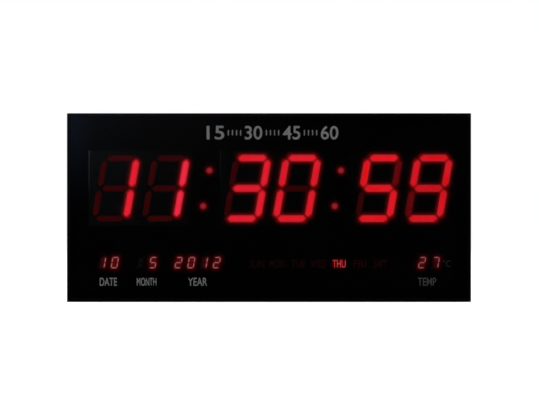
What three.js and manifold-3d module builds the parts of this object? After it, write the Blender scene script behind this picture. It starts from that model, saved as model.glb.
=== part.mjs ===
// A wall clock with six large digits, a calendar row and a thermometer, as separate pieces.
// Lengths are millimetres. X runs right as seen from the front, Y runs from the front face to
// the wall, and Z runs up. The origin is under the middle of the case, on what it stands on.
import * as THREE from "three";
import { mergeVertices } from "three/addons/utils/BufferGeometryUtils.js";
import Module from "manifold-3d";

// Clearances
const FIT = 0.3; // between pieces that seat on each other
const MITRE_GAP = 0.2; // between two rails at a corner
const OVERRUN = 1; // how far a cutter runs past the face that it opens
const MERGE = 0.001; // vertices closer than this are one

// Frame extrusion, measured inwards from its outer face
const WALL = 1.5;
const EDGE_ROUND = 1;
const LIP_REACH = 4;
const LIP_THICK = 1.2;
const RIB_THICK = 1.2;
const HOOK_THICK = 1.2;
const HOOK_DEPTH = 1.2;
const LEDGE_REACH = 10;
const LEDGE_THICK = 1.5;

// Corner keys that join the rails
const KEY_THICK = 2.4;
const KEY_DEPTH = 6;
const KEY_LEG = 22;

// Front sheets
const WINDOW_THICK = 2.5;
const MASK_THICK = 0.5;

// Large digits, upright before they are slanted
const SLANT = THREE.MathUtils.degToRad(10);
const DIGIT = { width: 45.5, height: 78, stroke: 8, gap: 2 };
const DIGIT_SPACE = 11.5; // between the two digits of a pair
const PAIR_NAMES = ["hours", "minutes", "seconds"];
const HOUSING_DEPTH = 8;
const HOUSING_MARGIN = 4; // above and below a digit
const HOUSING_SIDE = 1.2; // beside a digit's slanted corners
const WEB_THICK = 1.2; // the resin behind a digit's bars

// Colons
const COLON_WIDTH = 18;
const COLON_DOT = 6;
const COLON_SPACING = 40.6;
const COLON_SIDE = 6.65; // between a colon and the housing beside it
const RAISED = 0.25; // how far lit shapes stand out of a moulded face

// Small digits of the calendar row
const SMALL = { width: 7.8, height: 14.2, stroke: 1.4, gap: 0.5 };
const SMALL_WIDTH = 12.6;
const SMALL_HEIGHT = 19;
const SMALL_SPACE = 1.9; // between two digits of one number
const TEMPERATURE_SPACE = 3; // the same in the temperature
const GROUP_GAP = 16.5;
const DATE_DIGITS = 2;
const MONTH_DIGITS = 2;
const YEAR_DIGITS = 4;
const TEMPERATURE_DIGITS = 2;

// Weekday lights
const WEEKDAY_COUNT = 7;
const WEEKDAY_CELL_WIDTH = 20;
const WEEKDAY_CELL_HEIGHT = 11;
const WEEKDAY_WALL = 3.5; // between two cells
const WEEKDAY_RIM = 3;
const WEEKDAY_DROP = 1.3; // below the middle of the calendar row
const WEEKDAY_GAP = 26;
const TEMPERATURE_GAP = 28;

// Free margins round the two rows of lights
const CLOCK_LEFT = 24.2;
const CLOCK_RIGHT = 17.24;
const CALENDAR_LEFT = 33.4;
const CALENDAR_RIGHT = 33.4;
const TOP_MARGIN = 42.5;
const ROW_GAP = 31.9;
const BOTTOM_MARGIN = 35;

// Circuit board and what stands behind it
const BOARD_THICK = 1.6;
const BOARD_CLEAR = 2.3; // from the ribs and ledges
const LEG_WIDTH = 0.5;
const LEG_THICK = 0.3;
const LEG_PITCH = 2.54;
const CHIP_WIDTH = 6.4;
const CHIP_THICK = 3.4;
const CHIP_LIFT = 0.6;
const CONTROLLER_LEGS = 20;
const DRIVER_LEGS = 16;
const SENSOR_RADIUS = 2.4;
const SENSOR_FLAT = 1.3;
const SENSOR_TALL = 4.8;
const SENSOR_LIFT = 2.5;
const SENSOR_LEGS = 3;
const SENSOR_LEG_PITCH = 1.27;
const CELL_RADIUS = 10;
const CELL_THICK = 3.2;
const HOLDER_WALL = 1.4;
const HOLDER_FLOOR = 1.2;
const HOLDER_RIM = 0.6; // above the cell
const HOLDER_NOTCH = 9;
const BUZZER_RADIUS = 6;
const BUZZER_TALL = 8.5;
const BUZZER_HOLE = 1;
const BUZZER_HOLE_DEEP = 1.5;
const CRYSTAL_RADIUS = 1.5;
const CRYSTAL_LONG = 8;
const CAPACITOR_RADIUS = 4;
const CAPACITOR_TALL = 9.5;
const CAPACITOR_GROOVE = 0.5;
const REGULATOR = { width: 10, tall: 4.5, long: 9 };
const REGULATOR_TAB = 6;
const REGULATOR_TAB_THICK = 1.3;

// Power socket in the right rail
const JACK_LONG = 14;
const JACK_DEEP = 9.4;
const JACK_TALL = 9;
const JACK_BORE = 3.2;
const JACK_BORE_DEEP = 9.5;
const JACK_PIN = 1.05;
const JACK_PIN_SET_BACK = 2;
const JACK_HOLE = 4.8;
const JACK_UP = 40; // from the foot of the case
const JACK_CLEAR = 1; // to the ledge behind it

// Push buttons in the right rail
const BUTTON_NAMES = ["set", "down", "up", "mode"]; // from the lowest
const BUTTON_UP = 90; // the lowest one, from the foot of the case
const BUTTON_RADIUS = 3.2;
const BUTTON_SIDE_GAP = 0.4;
const BUTTON_PROUD = 1.2;
const BUTTON_ROUND = 0.6;
const BUTTON_TRAVEL = 0.5;
const FLANGE_GRIP = 1; // how far the flange laps the rail round its hole
const FLANGE_THICK = 1.2;
const FLANGE_SPACE = 5.8; // between the flanges of two buttons
const STEM_RADIUS = 1.5;
const STEM_IN_SWITCH = 1.5;
const SWITCH_LONG = 6;
const SWITCH_TALL = 6.2;
const SWITCH_DEEP = 7.9;
const SWITCH_SET_BACK = 0.5; // from the edge of the board
const SWITCH_BORE_DEEP = 4;
const STEM_SIDE_GAP = 0.4;

// Rear panel
const PANEL_THICK = 2.5;
const PILLAR_RADIUS = 3.5;
const PILLAR_INSET = 17; // from the sides of the board
const PILLAR_RISE = 12.7; // from the top and bottom of the board
const PEG_RADIUS = 1.3;
const PEG_IN_BOARD = 1;
const SCREW_RADIUS = 1.5;
const SCREW_HEAD = 2.8;
const SCREW_LONG = 8;
const SCREW_SUNK = 0.2;
const SCREW_INSET = 6; // from the outer face of the rail
const DRIVE_LONG = 3.2;
const DRIVE_WIDE = 0.7;
const DRIVE_DEEP = 0.9;
const KEYHOLE_SPACING = 300;
const KEYHOLE_DROP = 35; // below the top of the case
const KEYHOLE_HEAD = 5;
const KEYHOLE_SLOT = 2.5;
const KEYHOLE_CLIMB = 10;
const VENT_COUNT = 7;
const VENT_WIDE = 2.5;
const VENT_TALL = 22;
const VENT_BAR = 3.5; // between two slots
const GRILLE_HOLE = 1;
const GRILLE_WEB = 1.5; // between two holes
const GRILLE_COUNT = 6; // round the middle one
const LABEL_WIDTH = 100;
const LABEL_HEIGHT = 34;
const LABEL_DEEP = 0.5;

// Places behind the board and on the rear panel, as shares of the board from its middle
const placeShares = {
  microcontroller: [-0.06, 0.12],
  driver_chip_left: [-0.24, -0.08],
  driver_chip_right: [0.14, -0.08],
  temperature_sensor: [0.26, -0.3],
  cell_holder: [-0.14, 0.12],
  buzzer: [0.3, 0.06],
  crystal: [0.02, 0.2],
  capacitor: [0.4, -0.22],
  voltage_regulator: [0.36, -0.36],
  vent_left: [-0.26, -0.3],
  vent_right: [0.26, -0.3],
  label: [0, -0.14],
};

// Steps round a full circle, and round a small corner
const FINE_SIDES = 24;
const COARSE_SIDES = 12;
const SMALL_SIDES = 8;
const CORNER_STEPS = 2;

// Distances between the middles of what repeats
const digitPitch = DIGIT.width + DIGIT_SPACE;
const smallPitch = SMALL_WIDTH + SMALL_SPACE;
const temperaturePitch = SMALL_WIDTH + TEMPERATURE_SPACE;
const weekdayPitch = WEEKDAY_CELL_WIDTH + WEEKDAY_WALL;
const flangeRadius = BUTTON_RADIUS + BUTTON_SIDE_GAP + FLANGE_GRIP;
const buttonPitch = 2 * flangeRadius + FLANGE_SPACE;
const ventPitch = VENT_WIDE + VENT_BAR;
const grilleRing = 2 * GRILLE_HOLE + GRILLE_WEB;

// Depths of the stack, from the front of the case to the wall
const housingWidth =
  digitPitch + DIGIT.width + DIGIT.height * Math.tan(SLANT) + 2 * HOUSING_SIDE;
const housingHeight = DIGIT.height + 2 * HOUSING_MARGIN;
const recessDepth = WEB_THICK + FIT;
const lightsFrontFromFace = LIP_THICK + WINDOW_THICK + MASK_THICK + 3 * FIT;
const boardFrontFromFace = lightsFrontFromFace + HOUSING_DEPTH + FIT;
const spaceBehindBoard = FIT + JACK_DEEP + JACK_CLEAR + LEDGE_THICK + FIT;
const DEPTH = boardFrontFromFace + BOARD_THICK + spaceBehindBoard + PANEL_THICK;

const face = -DEPTH / 2;
const back = DEPTH / 2;
const windowFront = face + LIP_THICK + FIT;
const windowBack = windowFront + WINDOW_THICK;
const maskFront = windowBack + FIT;
const maskBack = maskFront + MASK_THICK;
const lightsFront = maskBack + FIT;
const lightsBack = lightsFront + HOUSING_DEPTH;
const boardFront = lightsBack + FIT;
const boardBack = boardFront + BOARD_THICK;
const partsFoot = boardBack + FIT;
const panelFront = back - PANEL_THICK;
const ledgeBack = panelFront - FIT;
const ledgeFront = ledgeBack - LEDGE_THICK;
const frontRib = lightsFront;
const keyFront = frontRib + RIB_THICK + FIT;
const keyBack = keyFront + KEY_DEPTH;
const rearRib = keyBack + FIT;
const ribReach = WALL + FIT + KEY_THICK + FIT + HOOK_THICK;

// Widths and heights of the two rows of lights, and the case round them
const smallGroup = (count, pitch) => (count - 1) * pitch + SMALL_WIDTH;
const weekdayLength = WEEKDAY_COUNT * weekdayPitch + WEEKDAY_RIM;
const weekdayHeight = WEEKDAY_CELL_HEIGHT + 2 * WEEKDAY_RIM;
const pairGap = COLON_WIDTH + 2 * COLON_SIDE;
const clockRow =
  CLOCK_LEFT +
  PAIR_NAMES.length * housingWidth +
  (PAIR_NAMES.length - 1) * pairGap +
  CLOCK_RIGHT;
const dateWidth = smallGroup(DATE_DIGITS, smallPitch);
const monthWidth = smallGroup(MONTH_DIGITS, smallPitch);
const yearWidth = smallGroup(YEAR_DIGITS, smallPitch);
const temperatureWidth = smallGroup(TEMPERATURE_DIGITS, temperaturePitch);
const dateLeft = CALENDAR_LEFT;
const monthLeft = dateLeft + dateWidth + GROUP_GAP;
const yearLeft = monthLeft + monthWidth + GROUP_GAP;
const weekdayLeft = yearLeft + yearWidth + WEEKDAY_GAP;
const temperatureLeft = weekdayLeft + weekdayLength + TEMPERATURE_GAP;
const calendarRow = temperatureLeft + temperatureWidth + CALENDAR_RIGHT;
const WIDTH = Math.max(clockRow, calendarRow);
const calendarHeight = Math.max(SMALL_HEIGHT, weekdayHeight + 2 * WEEKDAY_DROP);
const HEIGHT = BOTTOM_MARGIN + calendarHeight + ROW_GAP + housingHeight + TOP_MARGIN;
const left = -WIDTH / 2;
const right = WIDTH / 2;
const calendarZ = BOTTOM_MARGIN + calendarHeight / 2;
const weekdayZ = calendarZ - WEEKDAY_DROP;
const clockZ = HEIGHT - TOP_MARGIN - housingHeight / 2;

const boardWidth = WIDTH - 2 * (ribReach + BOARD_CLEAR);
const boardHeight = HEIGHT - 2 * (LEDGE_REACH + BOARD_CLEAR);
const middleZ = HEIGHT / 2;
const pillarX = boardWidth / 2 - PILLAR_INSET;
const pillarZ = boardHeight / 2 - PILLAR_RISE;
const columns = [-pillarX, 0, pillarX];
const sideY = partsFoot + JACK_DEEP / 2; // the depth of the socket and the buttons
const keyholeZ = HEIGHT - KEYHOLE_DROP;
const sheetWidth = WIDTH - 2 * (WALL + FIT);
const sheetHeight = HEIGHT - 2 * (WALL + FIT);

// A place on the board or the panel from its shares.
function placed(name) {
  const [across, up] = placeShares[name];
  return { x: across * boardWidth, z: middleZ + up * boardHeight };
}

const wasm = await Module();
wasm.setup();

// A closed geometry as a solid that can be cut and joined.
function solidOf(geometry) {
  const bare = geometry.clone();
  bare.deleteAttribute("normal");
  bare.deleteAttribute("uv");
  const merged = mergeVertices(bare, MERGE);
  return new wasm.Manifold(
    new wasm.Mesh({
      numProp: 3,
      vertProperties: merged.getAttribute("position").array,
      triVerts: new Uint32Array(merged.index.array),
    }),
  );
}

function geometryOf(solid) {
  const { vertProperties, triVerts } = solid.getMesh();
  const geometry = new THREE.BufferGeometry();
  geometry.setAttribute("position", new THREE.BufferAttribute(vertProperties, 3));
  geometry.setIndex(new THREE.BufferAttribute(triVerts, 1));
  return geometry;
}

function cut(geometry, ...cutters) {
  const cutFrom = (solid, cutter) => solid.subtract(solidOf(cutter));
  return geometryOf(cutters.reduce(cutFrom, solidOf(geometry)));
}

function join(geometry, ...others) {
  const joinTo = (solid, other) => solid.add(solidOf(other));
  return geometryOf(others.reduce(joinTo, solidOf(geometry)));
}

// A box between two corners.
function block(low, high) {
  const size = high.map((value, i) => value - low[i]);
  const centre = high.map((value, i) => (value + low[i]) / 2);
  return new THREE.BoxGeometry(...size).translate(...centre);
}

// A round bar along Y.
function rod(radius, front, rear, x = 0, z = 0, sides = COARSE_SIDES) {
  return new THREE.CylinderGeometry(radius, radius, rear - front, sides).translate(
    x,
    (front + rear) / 2,
    z,
  );
}

// A round bar along X.
function rodAcross(radius, from, to, y = 0, z = 0, sides = COARSE_SIDES) {
  return new THREE.CylinderGeometry(radius, radius, to - from, sides)
    .rotateZ(-Math.PI / 2)
    .translate((from + to) / 2, y, z);
}

// Outlines drawn as seen from the front, given their depth from front to rear.
function slab(shapes, front, rear) {
  const options = {
    depth: rear - front,
    bevelEnabled: false,
    curveSegments: COARSE_SIDES / 2,
  };
  return new THREE.ExtrudeGeometry(shapes, options)
    .rotateX(Math.PI / 2)
    .translate(0, rear, 0);
}

function outline(points) {
  return new THREE.Shape(points.map(([x, z]) => new THREE.Vector2(x, z)));
}

function rectangle(width, height, x = 0, z = 0) {
  const halfWidth = width / 2;
  const halfHeight = height / 2;
  return outline([
    [x - halfWidth, z - halfHeight],
    [x + halfWidth, z - halfHeight],
    [x + halfWidth, z + halfHeight],
    [x - halfWidth, z + halfHeight],
  ]);
}

function disc(radius, x, z, sides = COARSE_SIDES) {
  const step = (2 * Math.PI) / sides;
  return outline(
    Array.from({ length: sides }, (_, i) => [
      x + radius * Math.cos(i * step),
      z + radius * Math.sin(i * step),
    ]),
  );
}

// A slot with round ends, upright.
function slot(width, height, x, z) {
  const radius = width / 2;
  const reach = height / 2 - radius;
  const steps = SMALL_SIDES / 2;
  const end = (start, middle) =>
    Array.from({ length: steps + 1 }, (_, i) => {
      const angle = start + (i * Math.PI) / steps;
      return [x + radius * Math.cos(angle), middle + radius * Math.sin(angle)];
    });
  return outline([...end(0, z + reach), ...end(Math.PI, z - reach)]);
}

// A wall hook's hole: a round mouth for the screw head, and a slot that climbs from it.
function keyhole(x, z) {
  const half = Math.asin(KEYHOLE_SLOT / KEYHOLE_HEAD);
  return new THREE.Shape()
    .absarc(x, z, KEYHOLE_HEAD, Math.PI / 2 + half, 2 * Math.PI + Math.PI / 2 - half)
    .absarc(x, z + KEYHOLE_CLIMB, KEYHOLE_SLOT, 0, Math.PI);
}

// An outline drawn upright about a middle, then slanted and set in its place.
function slantedOutline(points, x, z) {
  return outline(points.map(([across, up]) => [x + across + up * Math.tan(SLANT), z + up]));
}

// A digit's seven bars, with pointed ends. Grow widens each bar all round.
function digitBars({ width, height, stroke, gap }, grow, x, z) {
  const armX = (width - stroke) / 2;
  const armZ = (height - stroke) / 2;
  const half = stroke / 2 + grow;
  const stop = gap * Math.SQRT1_2 - grow * Math.SQRT2;
  const flat = (level) => [
    [-armX + stop, level],
    [-armX + stop + half, level - half],
    [armX - stop - half, level - half],
    [armX - stop, level],
    [armX - stop - half, level + half],
    [-armX + stop + half, level + half],
  ];
  const upright = (side, foot) => [
    [side, foot + stop],
    [side + half, foot + stop + half],
    [side + half, foot + armZ - stop - half],
    [side, foot + armZ - stop],
    [side - half, foot + armZ - stop - half],
    [side - half, foot + stop + half],
  ];
  const bars = [
    flat(armZ),
    upright(armX, 0),
    upright(armX, -armZ),
    flat(-armZ),
    upright(-armX, -armZ),
    upright(-armX, 0),
    flat(0),
  ];
  return bars.map((points) => slantedOutline(points, x, z));
}

// The slanted field that a digit fills.
function digitField({ width, height }, grow, x, z) {
  const halfWidth = width / 2 + grow;
  const halfHeight = height / 2 + grow;
  const corners = [
    [-halfWidth, -halfHeight],
    [halfWidth, -halfHeight],
    [halfWidth, halfHeight],
    [-halfWidth, halfHeight],
  ];
  return slantedOutline(corners, x, z);
}

const finish = (color, roughness, metalness = 0, opacity = 1) =>
  new THREE.MeshStandardMaterial({
    color,
    roughness,
    metalness,
    opacity,
    transparent: opacity < 1,
  });

const finishes = {
  anodised: finish(0x141416, 0.42, 0.9),
  steel: finish(0x8f9296, 0.35, 1),
  acrylic: finish(0x050506, 0.08, 0, 0.35),
  ink: finish(0x060607, 0.7),
  housing: finish(0x111113, 0.6),
  resin: finish(0xd81628, 0.35),
  moulded: finish(0x18181a, 0.65),
  board: finish(0x14532d, 0.5),
  chip: finish(0x17171a, 0.5),
  button: finish(0x202024, 0.5),
};

function piece(name, geometry, material, x = 0, y = 0, z = 0, turn = 0) {
  const mesh = new THREE.Mesh(geometry, material);
  mesh.name = name;
  mesh.position.set(x, y, z);
  mesh.rotation.y = turn;
  return mesh;
}

// The extrusion's section: the lip over the window, two ribs that a corner key slides
// between, and the ledge that the rear panel is screwed to.
function railSection() {
  const hookInner = ribReach - HOOK_THICK;
  const frontHook = frontRib + RIB_THICK;
  const section = new THREE.Shape();
  section.moveTo(EDGE_ROUND, face);
  const corners = [
    [LIP_REACH, face],
    [LIP_REACH, face + LIP_THICK],
    [WALL, face + LIP_THICK],
    [WALL, frontRib],
    [ribReach, frontRib],
    [ribReach, frontHook + HOOK_DEPTH],
    [hookInner, frontHook + HOOK_DEPTH],
    [hookInner, frontHook],
    [WALL, frontHook],
    [WALL, rearRib],
    [hookInner, rearRib],
    [hookInner, rearRib - HOOK_DEPTH],
    [ribReach, rearRib - HOOK_DEPTH],
    [ribReach, rearRib + RIB_THICK],
    [WALL, rearRib + RIB_THICK],
    [WALL, ledgeFront],
    [LEDGE_REACH, ledgeFront],
    [LEDGE_REACH, ledgeBack],
    [WALL, ledgeBack],
    [WALL, back],
  ];
  corners.forEach(([inward, depth]) => section.lineTo(inward, depth));
  section.lineTo(EDGE_ROUND, back);
  section.absarc(EDGE_ROUND, back - EDGE_ROUND, EDGE_ROUND, Math.PI / 2, Math.PI);
  section.absarc(EDGE_ROUND, face + EDGE_ROUND, EDGE_ROUND, Math.PI, 1.5 * Math.PI);
  return section;
}

// A rail lies along X with its outer face at Z = 0, and its ends are mitred.
function railBlank(length) {
  const options = { depth: 1, bevelEnabled: false, curveSegments: CORNER_STEPS };
  const rail = new THREE.ExtrudeGeometry(railSection(), options);
  const points = rail.getAttribute("position");
  const endInset = MITRE_GAP * Math.SQRT1_2;
  for (let i = 0; i < points.count; i++) {
    const half = length / 2 - points.getX(i) - endInset;
    points.setZ(i, points.getZ(i) > 0 ? half : -half);
  }
  return rail.rotateY(-Math.PI / 2);
}

function screwedRail(length) {
  const holes = columns.map((x) =>
    rod(SCREW_RADIUS + FIT, ledgeFront - OVERRUN, ledgeBack + OVERRUN, x, SCREW_INSET),
  );
  return cut(railBlank(length), ...holes);
}

const buttonHeights = BUTTON_NAMES.map((_, i) => BUTTON_UP + i * buttonPitch);

// The right rail is drilled while it lies down, so heights run along X from its middle.
function drilledRail(length) {
  const drill = (radius, height, sides) =>
    new THREE.CylinderGeometry(radius, radius, WALL + 2 * OVERRUN, sides)
      .rotateX(Math.PI / 2)
      .translate(height - middleZ, sideY, WALL / 2);
  const buttonHole = BUTTON_RADIUS + BUTTON_SIDE_GAP;
  return cut(
    railBlank(length),
    drill(JACK_HOLE, JACK_UP, FINE_SIDES),
    ...buttonHeights.map((height) => drill(buttonHole, height, COARSE_SIDES)),
  );
}

function makeFrame() {
  const frame = new THREE.Group();
  const { anodised, steel } = finishes;
  const quarter = Math.PI / 2;
  frame.add(
    piece("frame_bottom_rail", screwedRail(WIDTH), anodised),
    piece("frame_top_rail", screwedRail(WIDTH), anodised, 0, 0, HEIGHT, 2 * quarter),
    piece("frame_left_rail", railBlank(HEIGHT), anodised, left, 0, middleZ, quarter),
    piece("frame_right_rail", drilledRail(HEIGHT), anodised, right, 0, middleZ, -quarter),
  );
  const key = slab(
    outline([
      [0, 0],
      [KEY_LEG, 0],
      [KEY_LEG, KEY_THICK],
      [KEY_THICK, KEY_THICK],
      [KEY_THICK, KEY_LEG],
      [0, KEY_LEG],
    ]),
    keyFront,
    keyBack,
  );
  const seat = WALL + FIT;
  const low = seat;
  const high = HEIGHT - seat;
  frame.add(
    piece("corner_key_bottom_left", key, steel, left + seat, 0, low, 0),
    piece("corner_key_bottom_right", key, steel, right - seat, 0, low, -quarter),
    piece("corner_key_top_right", key, steel, right - seat, 0, high, 2 * quarter),
    piece("corner_key_top_left", key, steel, left + seat, 0, high, quarter),
  );
  return frame;
}

// Places of the lights, worked out once for the modules and for the mask's windows
const pairPitch = housingWidth + pairGap;
const pairX = PAIR_NAMES.map((_, i) => left + CLOCK_LEFT + housingWidth / 2 + i * pairPitch);
const digitX = (pair, place) => pairX[pair] + (place - 1 / 2) * digitPitch;
const colonX = [0, 1].map((i) => (pairX[i] + pairX[i + 1]) / 2);
const weekdayX = left + weekdayLeft + weekdayLength / 2;
const cellX = Array.from(
  { length: WEEKDAY_COUNT },
  (_, i) => weekdayX + (i - (WEEKDAY_COUNT - 1) / 2) * weekdayPitch,
);
const smallRow = (name, start, count, pitch) =>
  Array.from({ length: count }, (_, i) => ({
    name: `${name}_digit_${i + 1}`,
    x: left + start + SMALL_WIDTH / 2 + i * pitch,
  }));
const smallDigits = [
  ...smallRow("date", dateLeft, DATE_DIGITS, smallPitch),
  ...smallRow("month", monthLeft, MONTH_DIGITS, smallPitch),
  ...smallRow("year", yearLeft, YEAR_DIGITS, smallPitch),
  ...smallRow("temperature", temperatureLeft, TEMPERATURE_DIGITS, temperaturePitch),
];
const colonDots = (x, z) =>
  [-COLON_SPACING / 2, COLON_SPACING / 2].map((rise) =>
    disc(COLON_DOT / 2, x + rise * Math.tan(SLANT), z + rise),
  );

function makeFrontSheets() {
  const sheets = new THREE.Group();
  const windowSheet = slab(
    rectangle(sheetWidth, sheetHeight, 0, middleZ),
    windowFront,
    windowBack,
  );
  const maskSheet = slab(
    rectangle(sheetWidth, sheetHeight, 0, middleZ),
    maskFront,
    maskBack,
  );
  const windows = pairX.flatMap((_, pair) =>
    [0, 1].flatMap((place) => digitBars(DIGIT, 0, digitX(pair, place), clockZ)),
  );
  colonX.forEach((x) => windows.push(...colonDots(x, clockZ)));
  smallDigits.forEach(({ x }) => windows.push(digitField(SMALL, FIT, x, calendarZ)));
  cellX.forEach((x) =>
    windows.push(rectangle(WEEKDAY_CELL_WIDTH, WEEKDAY_CELL_HEIGHT, x, weekdayZ)),
  );
  const cutter = slab(windows, maskFront - OVERRUN, maskBack + OVERRUN);
  sheets.add(
    piece("front_window", windowSheet, finishes.acrylic),
    piece("printed_mask", cut(maskSheet, cutter), finishes.ink),
  );
  return sheets;
}

// One housing carries two digits: slots for their bars, and a pocket behind each digit.
function pairHousing() {
  const shell = slab(rectangle(housingWidth, housingHeight), lightsFront, lightsBack);
  const places = [-digitPitch / 2, digitPitch / 2];
  const slots = places.flatMap((x) => digitBars(DIGIT, FIT, x, 0));
  const pockets = places.map((x) => digitField(DIGIT, FIT, x, 0));
  return cut(
    shell,
    slab(slots, lightsFront - OVERRUN, lightsBack),
    slab(pockets, lightsBack - recessDepth, lightsBack + OVERRUN),
  );
}

// A digit's resin: its seven bars on the web that holds them.
function digitResin() {
  const web = slab(digitField(DIGIT, 0, 0, 0), lightsBack - WEB_THICK, lightsBack);
  return join(web, slab(digitBars(DIGIT, 0, 0, 0), lightsFront, lightsBack));
}

function colonModule() {
  const body = slab(
    rectangle(COLON_WIDTH, housingHeight),
    lightsFront + RAISED,
    lightsBack,
  );
  return join(body, slab(colonDots(0, 0), lightsFront, lightsBack));
}

function smallDigit() {
  const body = slab(
    rectangle(SMALL_WIDTH, SMALL_HEIGHT),
    lightsFront + RAISED,
    lightsBack,
  );
  return join(body, slab(digitBars(SMALL, 0, 0, 0), lightsFront, lightsBack));
}

function weekdayBar() {
  const shell = slab(rectangle(weekdayLength, weekdayHeight), lightsFront, lightsBack);
  const cells = cellX.map((x) =>
    rectangle(WEEKDAY_CELL_WIDTH, WEEKDAY_CELL_HEIGHT, x - weekdayX),
  );
  const pocket = rectangle(
    weekdayLength - WEEKDAY_RIM,
    WEEKDAY_CELL_HEIGHT + WEEKDAY_RIM,
  );
  return cut(
    shell,
    slab(cells, lightsFront - OVERRUN, lightsBack),
    slab(pocket, lightsBack - recessDepth, lightsBack + OVERRUN),
  );
}

function weekdayResin() {
  const web = slab(
    rectangle(
      weekdayLength - WEEKDAY_RIM - 2 * FIT,
      WEEKDAY_CELL_HEIGHT + WEEKDAY_RIM - 2 * FIT,
    ),
    lightsBack - WEB_THICK,
    lightsBack,
  );
  const pads = cellX.map((x) =>
    rectangle(WEEKDAY_CELL_WIDTH - 2 * FIT, WEEKDAY_CELL_HEIGHT - 2 * FIT, x - weekdayX),
  );
  return join(web, slab(pads, lightsFront, lightsBack));
}

function makeLights() {
  const lights = new THREE.Group();
  const { housing, resin } = finishes;
  const housingGeometry = pairHousing();
  const resinGeometry = digitResin();
  const places = ["tens", "units"];
  PAIR_NAMES.forEach((name, pair) => {
    lights.add(
      piece(`${name}_housing`, housingGeometry, housing, pairX[pair], 0, clockZ),
      ...places.map((place, i) =>
        piece(`${name}_${place}_resin`, resinGeometry, resin, digitX(pair, i), 0, clockZ),
      ),
    );
  });
  const colonGeometry = colonModule();
  colonX.forEach((x, i) =>
    lights.add(piece(`colon_${i + 1}`, colonGeometry, housing, x, 0, clockZ)),
  );
  const smallGeometry = smallDigit();
  smallDigits.forEach(({ name, x }) =>
    lights.add(piece(name, smallGeometry, housing, x, 0, calendarZ)),
  );
  lights.add(
    piece("weekday_light_bar", weekdayBar(), housing, weekdayX, 0, weekdayZ),
    piece("weekday_resin", weekdayResin(), resin, weekdayX, 0, weekdayZ),
  );
  return lights;
}

// A chip that stands on two rows of legs, seen with its length along X.
function chip(legCount) {
  const perSide = legCount / 2;
  const length = perSide * LEG_PITCH;
  const foot = partsFoot;
  const body = block(
    [-length / 2, foot + CHIP_LIFT, -CHIP_WIDTH / 2],
    [length / 2, foot + CHIP_LIFT + CHIP_THICK, CHIP_WIDTH / 2],
  );
  const knee = foot + CHIP_LIFT + CHIP_THICK / 2;
  const legs = [];
  for (let i = 0; i < perSide; i++) {
    const x = (i - (perSide - 1) / 2) * LEG_PITCH;
    [-1, 1].forEach((side) => {
      const z = (side * CHIP_WIDTH) / 2;
      legs.push(
        block(
          [x - LEG_WIDTH / 2, foot, z - LEG_THICK / 2],
          [x + LEG_WIDTH / 2, knee, z + LEG_THICK / 2],
        ),
      );
    });
  }
  return join(body, ...legs);
}

function temperatureSensor() {
  const foot = partsFoot;
  const can = rod(SENSOR_RADIUS, foot + SENSOR_LIFT, foot + SENSOR_LIFT + SENSOR_TALL);
  const flatSide = block(
    [-SENSOR_RADIUS - OVERRUN, foot, SENSOR_FLAT],
    [SENSOR_RADIUS + OVERRUN, panelFront, SENSOR_RADIUS + OVERRUN],
  );
  const legs = Array.from({ length: SENSOR_LEGS }, (_, i) => {
    const x = (i - (SENSOR_LEGS - 1) / 2) * SENSOR_LEG_PITCH;
    const half = LEG_WIDTH / 2;
    return block([x - half, foot, -half], [x + half, foot + SENSOR_LIFT + half, half]);
  });
  return join(cut(can, flatSide), ...legs);
}

function cellHolder() {
  const outer = CELL_RADIUS + FIT + HOLDER_WALL;
  const rim = partsFoot + HOLDER_FLOOR + FIT + CELL_THICK + HOLDER_RIM;
  const cup = rod(outer, partsFoot, rim, 0, 0, FINE_SIDES);
  const floor = partsFoot + HOLDER_FLOOR;
  const hollow = rod(CELL_RADIUS + FIT, floor, rim + OVERRUN, 0, 0, FINE_SIDES);
  const reach = outer + OVERRUN;
  const half = HOLDER_NOTCH / 2;
  const notch = block([-half, floor, -reach], [half, rim + OVERRUN, reach]);
  return cut(cup, hollow, notch);
}

function buzzer() {
  const rear = partsFoot + BUZZER_TALL;
  const can = rod(BUZZER_RADIUS, partsFoot, rear, 0, 0, FINE_SIDES);
  return cut(can, rod(BUZZER_HOLE, rear - BUZZER_HOLE_DEEP, rear + OVERRUN));
}

function capacitor() {
  const rear = partsFoot + CAPACITOR_TALL;
  const groove = 2 * CAPACITOR_GROOVE;
  const profile = [
    [0, partsFoot],
    [CAPACITOR_RADIUS, partsFoot],
    [CAPACITOR_RADIUS, partsFoot + groove],
    [CAPACITOR_RADIUS - CAPACITOR_GROOVE, partsFoot + 2 * groove],
    [CAPACITOR_RADIUS, partsFoot + 3 * groove],
    [CAPACITOR_RADIUS, rear],
    [0, rear],
  ];
  return turned(profile, COARSE_SIDES);
}

// A round piece about the Y axis, from its profile of radius and depth.
function turned(profile, sides) {
  return new THREE.LatheGeometry(
    profile.map(([radius, depth]) => new THREE.Vector2(radius, depth)),
    sides,
  );
}

function voltageRegulator() {
  const { width, tall, long } = REGULATOR;
  const body = block([-width / 2, partsFoot, 0], [width / 2, partsFoot + tall, long]);
  const tabEnd = long + REGULATOR_TAB;
  const tabOutline = rectangle(width, tabEnd, 0, tabEnd / 2);
  tabOutline.holes.push(disc(SCREW_RADIUS, 0, tabEnd - REGULATOR_TAB / 2));
  return join(body, slab(tabOutline, partsFoot, partsFoot + REGULATOR_TAB_THICK));
}

// The socket's mouth is at X = 0, and it reaches back from there.
function powerSocket() {
  const body = block(
    [-JACK_LONG, -JACK_DEEP / 2, -JACK_TALL / 2],
    [0, JACK_DEEP / 2, JACK_TALL / 2],
  );
  const bore = rodAcross(JACK_BORE, -JACK_BORE_DEEP, OVERRUN, 0, 0, FINE_SIDES);
  const pin = rodAcross(JACK_PIN, -JACK_BORE_DEEP - OVERRUN, -JACK_PIN_SET_BACK);
  return join(cut(body, bore), pin);
}

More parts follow.
